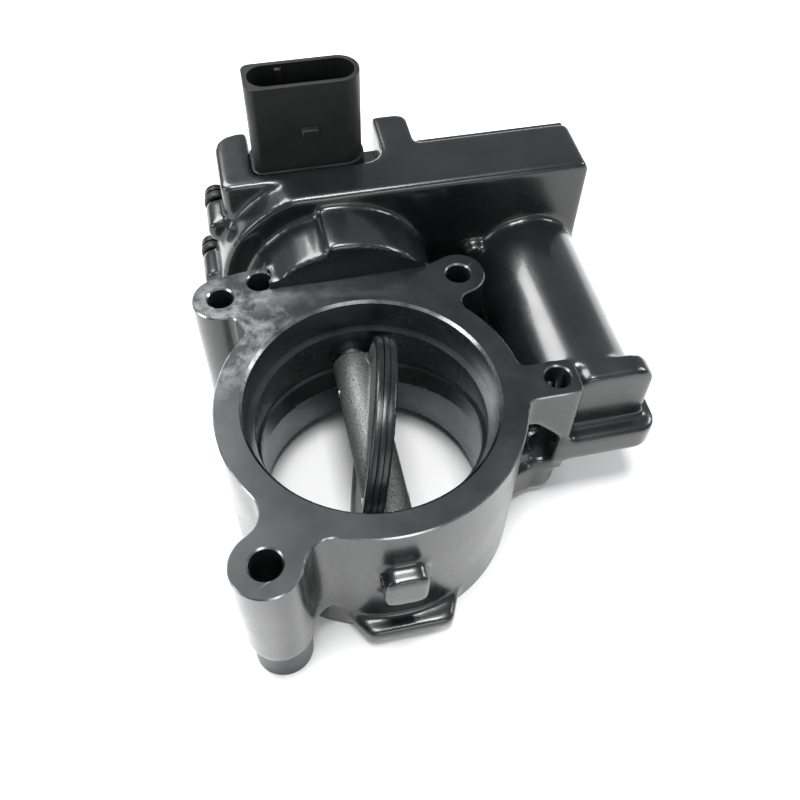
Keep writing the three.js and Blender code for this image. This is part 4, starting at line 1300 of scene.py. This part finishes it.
# ---------------------------------------------------------------------------
# Cover, connector and small parts
# ---------------------------------------------------------------------------
@dataclass
class Connector:
    """The upright plug socket on the cover, in millimetres from the bore axis."""

    paint: Paintbox
    left: float = -18.1
    right: float = 12.0
    front: float = 69.3
    rear: float = 80.9
    bottom: float = 58.6
    top: float = 88.4
    wall: float = 1.3
    depth: float = 23.0
    rounds: tuple[float, float] = (2.3, 5.6)
    collar_rounds: tuple[float, float] = (3.0, 6.0)
    collar_overhang: float = 0.6
    collar_top: float = 62.8
    latch_sides: tuple[float, float] = (-4.7, -0.3)
    latch_drops: tuple[float, float] = (15.4, 12.8)
    latch_rise: float = 1.3
    key_sides: tuple[float, float] = (-9.5, -7.7)
    key_drops: tuple[float, float] = (20.0, 1.2)
    key_rise: float = 0.9

    def build(self) -> Part:
        """Makes the connector.

        Returns:
            The finished piece.
        """
        shell = self._column("connector_shell", 0.0, self.bottom, self.top, self.rounds)
        overhang = -self.collar_overhang
        collar = self._column("connector_collar", overhang, self.bottom, self.collar_top, self.collar_rounds)
        round_end = (self.rear - self.front) / 2 - self.wall - 0.05
        floor = self.top - self.depth
        socket = self._column("connector_socket", self.wall, floor, self.top + 2, (round_end, round_end))
        raised = self.front - self.latch_rise
        latch = self._rib("latch", self.latch_sides, raised, self.front + 1, self.latch_drops)
        soften(latch, 0.35, 2)
        inside = self.rear - self.wall
        key = self._rib("key", self.key_sides, inside - self.key_rise, self.rear - 0.4, self.key_drops)
        unite(shell, collar, latch)
        cut(shell, socket)
        unite(shell, key)
        soften(shell, 0.28, 2, 40)
        smooth(shell, 40)
        modify(shell, "WEIGHTED_NORMAL", keep_sharp=True, weight=80)
        self.paint.dress(shell, Slot.BLACK_PLASTIC, "housing")
        return shell

    def _rib(
        self, name: str, sides: tuple[float, float], front: float, rear: float, drops: tuple[float, float]
    ) -> Part:
        """A small upright block on the connector's wall.

        Args:
            name: The block's name.
            sides: Its left and right sides.
            front: Its front.
            rear: Its rear.
            drops: How far its foot and its head lie below the connector's top.

        Returns:
            The block.
        """
        (left, right), (foot, head) = sides, drops
        return slab(name, LAYOUT.at(left, front, self.top - foot), LAYOUT.at(right, rear, self.top - head))

    def _column(
        self, name: str, inset: float, bottom: float, top: float, rounds: tuple[float, float]
    ) -> Part:
        """An upright block with rounded corners.

        Args:
            name: The block's name.
            inset: How far its sides lie inside the connector's outline.
            bottom: Its lowest height.
            top: Its highest.
            rounds: The radius of its left corners and of its right ones.

        Returns:
            The block.
        """
        low = LAYOUT.at(self.left + inset, self.front + inset, bottom)
        high = LAYOUT.at(self.right - inset, self.rear - inset, top)
        block = slab(name, low, high)
        middle = (low.x + high.x) / 2
        for side, corner, radius in ((-1, low.x, rounds[0]), (1, high.x, rounds[1])):
            choose(block, lambda p: False)
            bpy.ops.mesh.select_mode(type="EDGE")
            bpy.ops.object.mode_set(mode="OBJECT")
            for edge in block.data.edges:
                a, b = (block.data.vertices[i].co for i in edge.vertices)
                upright = (a.xy - b.xy).length < 1e-7 and abs(a.z - b.z) > 1e-6
                edge.select = upright and abs(a.x - corner) < 1e-6 and (a.x - middle) * side > 0
            bpy.ops.object.mode_set(mode="EDIT")
            bpy.ops.mesh.bevel(offset=radius * MM, segments=12, offset_type="OFFSET", clamp_overlap=True)
            done()
        return tidy_faces(block)


@dataclass
class CoverMoulding:
    """The gear cover behind the casting, with soft moulded edges."""

    paint: Paintbox
    connector_foot: float = 58.55
    voxel: float = 0.7
    passes: int = 3
    triangle_limit: int = 120_000

    def build(self) -> Part:
        """Makes the cover.

        Returns:
            The finished piece.
        """
        cover = node_copy("gear_cover", "cover_moulding")
        above = slab("above_cover", LAYOUT.at(-25, 66, self.connector_foot), LAYOUT.at(20, 90, 95))
        cut(cover, above)
        skinned(cover, self.voxel, self.passes)
        lightened(cover, self.triangle_limit)
        smooth(cover, 38)
        self.paint.dress(cover, Slot.BLACK_PLASTIC, "housing")
        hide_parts("gear_cover")
        return cover


@dataclass
class CoverScrews:
    """Pan-head screws with a six-lobed recess."""

    paint: Paintbox
    head_radius: float = 3.4
    head_height: float = 2.6
    recess_radius: float = 1.25
    lobe_radius: float = 0.42
    lobes: int = 6
    recess_depth: float = 1.5
    shank_radius: float = 2.0
    crown: float = 0.9
    count: int = 6

    def build(self) -> list[Part]:
        """Makes one screw and copies it to each place.

        Returns:
            The screws.
        """
        first_low, first_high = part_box("cover_screw_1")
        pattern = self._screw(first_low, first_high)
        screws = []
        for number in range(1, self.count + 1):
            low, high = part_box(f"cover_screw_{number}")
            made = bpy.data.objects.new(f"cover_screw_head_{number}", pattern.data.copy())
            bpy.context.scene.collection.objects.link(made)
            made.location = (low + high) / 2 - (first_low + first_high) / 2
            settle(made, made.name)
            self.paint.dress(made, Slot.DARK_STEEL, "housing")
            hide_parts(f"cover_screw_{number}")
            screws.append(made)
        bpy.data.objects.remove(pattern)
        return screws

    def _screw(self, low: Vector, high: Vector) -> Part:
        """One screw in the box of its CAD node.

        Args:
            low: The box's lowest corner.
            high: The box's highest corner.

        Returns:
            The screw.
        """
        middle = (low + high) / 2
        seat = high.y - self.head_height * MM
        floor = high.y - self.recess_depth * MM

        def beside(y: float, aside: float = 0.0, angle: float = 0.0) -> Vector:
            """A point on the screw's axis, or beside it."""
            return Vector((middle.x + math.cos(angle) * aside, y, middle.z + math.sin(angle) * aside))

        head = bar("screw_head", beside(seat), Axis.LYING, self.head_radius, self.head_height, 48)
        choose(head, lambda p: p.y > high.y - 0.1 * MM)
        bpy.ops.mesh.bevel(offset=self.crown * MM, segments=5)
        done()
        shank_reach = (seat - low.y) / MM + 0.5
        unite(head, bar("screw_shank", beside(low.y), Axis.LYING, self.shank_radius, shank_reach, 32))
        cut(head, bar("recess", beside(floor), Axis.LYING, self.recess_radius, 4, 24))
        for lobe in range(self.lobes):
            at = beside(floor, self.recess_radius * MM, math.tau * lobe / self.lobes)
            cut(head, bar("lobe", at, Axis.LYING, self.lobe_radius, 4, 12))
        return smooth(head, 36)


@dataclass
class Terminals:
    """The blades in the connector, with tapered tips."""

    paint: Paintbox
    count: int = 5
    taper: float = 1.0

    def build(self) -> list[Part]:
        """Makes the blades.

        Returns:
            The blades.
        """
        blades = []
        for number in range(1, self.count + 1):
            low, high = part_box(f"terminal_{number}")
            blade = slab(f"terminal_blade_{number}", low, high)
            choose(blade, lambda p: p.z > high.z - 0.1 * MM)
            tip = Vector(((low.x + high.x) / 2, (low.y + high.y) / 2, high.z))
            bpy.ops.mesh.extrude_region_move(TRANSFORM_OT_translate={"value": (0, 0, 0)})
            bpy.ops.transform.resize(value=(0.55, 0.5, 1), center_override=tip)
            done()
            shoulder = 0.6 * (high.x - low.x) / 2
            choose(blade, lambda p: p.z > high.z - 0.1 * MM and abs(p.x - tip.x) > shoulder)
            bpy.ops.transform.translate(value=(0, 0, -self.taper * MM))
            done()
            tidy_faces(blade, 0.001 * MM)
            soften(blade, 0.08, 2)
            smooth(blade, 40)
            self.paint.dress(blade, Slot.BRASS, "housing")
            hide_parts(f"terminal_{number}")
            blades.append(blade)
        return blades


# ---------------------------------------------------------------------------
# Floor, light and camera
# ---------------------------------------------------------------------------
@dataclass(frozen=True)
class Softbox:
    """A square soft light that looks at the part, in metres and watts."""

    name: str
    at: tuple[float, float, float]
    size: float
    power: float


@dataclass
class Studio:
    """A pale floor, soft lights and the camera."""

    softboxes: tuple[Softbox, ...] = (
        Softbox("key", (-0.35, 0.5, 0.75), 0.45, 9.0),
        Softbox("overhead", (0.0, -0.02, 1.2), 0.4, 14.0),
        Softbox("fill_left", (-0.8, -0.1, 0.4), 0.35, 3.0),
        Softbox("fill_right", (0.75, 0.1, 0.5), 0.25, 3.0),
        Softbox("front", (0.1, -0.8, 0.45), 0.4, 2.0),
    )
    looks_at: tuple[float, float, float] = (0.0, 0.0, 0.03)
    surround: float = 0.4
    floor_half: float = 3.0
    lens: float = 39.69
    target: tuple[float, float, float] = (6.55, -2.10, 48.4)
    distance: float = 212.9
    azimuth: float = -13.79
    elevation: float = 53.99
    roll: float = 1.815

    def build(self) -> None:
        """Sets up everything round the part."""
        self._floor()
        self._world()
        for softbox in self.softboxes:
            self._light(softbox)
        self._camera()

    def _floor(self) -> None:
        """A wide pale floor with a faint mottle."""
        bpy.ops.object.select_all(action="DESELECT")
        bpy.ops.mesh.primitive_plane_add(size=2 * self.floor_half, location=(0, 0, 0))
        floor = settle(bpy.context.active_object, "studio_floor")
        floor.data.materials.append(FLOOR_PAPER.build())

    def _world(self) -> None:
        """An even, dim surround."""
        world = bpy.data.worlds.new("studio_surround")
        bpy.context.scene.world = world
        world.use_nodes = True
        background = world.node_tree.nodes["Background"]
        background.inputs["Color"].default_value = (0.95, 0.97, 1.0, 1)
        background.inputs["Strength"].default_value = self.surround

    def _light(self, softbox: Softbox) -> None:
        """Places one area light.

        Args:
            softbox: Its name, place, size and power.
        """
        data = bpy.data.lights.new(softbox.name, "AREA")
        data.shape = "SQUARE"
        data.size = softbox.size
        data.energy = softbox.power
        lamp = bpy.data.objects.new(softbox.name, data)
        bpy.context.scene.collection.objects.link(lamp)
        lamp.location = softbox.at
        towards = Vector(self.looks_at) - Vector(softbox.at)
        lamp.rotation_euler = towards.to_track_quat("-Z", "Y").to_euler()

    def _camera(self) -> None:
        """The camera, high in front of the part and a little to its left."""
        az, el, roll = (math.radians(v) for v in (self.azimuth, self.elevation, self.roll))
        back = Vector((math.sin(az) * math.cos(el), -math.cos(az) * math.cos(el), math.sin(el)))
        right = (-back).cross(Vector((0, 0, 1))).normalized()
        up = right.cross(-back)
        across = right * math.cos(roll) + up * math.sin(roll)
        above = up * math.cos(roll) - right * math.sin(roll)
        data = bpy.data.cameras.new("camera")
        data.lens = self.lens
        data.sensor_width = 36
        data.clip_start = 0.005
        camera = bpy.data.objects.new("camera", data)
        bpy.context.scene.collection.objects.link(camera)
        camera.matrix_world = Matrix(
            (
                (across.x, above.x, back.x, 0),
                (across.y, above.y, back.y, 0),
                (across.z, above.z, back.z, 0),
                (0, 0, 0, 1),
            )
        )
        camera.location = LAYOUT.at(*self.target) + back * self.distance * MM
        bpy.context.scene.camera = camera


def main() -> None:
    """Builds the throttle body's looks, piece by piece."""
    logging.basicConfig(level=logging.INFO, format="%(message)s")
    paint = Paintbox()
    paint.dress_nodes()
    for assembly in (
        HousingCasting(paint),
        FlapCasting(paint),
        CoverMoulding(paint),
        Connector(paint),
        CoverScrews(paint),
        Terminals(paint),
    ):
        made = assembly.build()
        for piece in made if isinstance(made, list) else [made]:
            log.info("%s: %d faces", piece.name, len(piece.data.polygons))
    Studio().build()
    bpy.context.scene.view_settings.view_transform = "Standard"


if __name__ == "__main__":
    main()
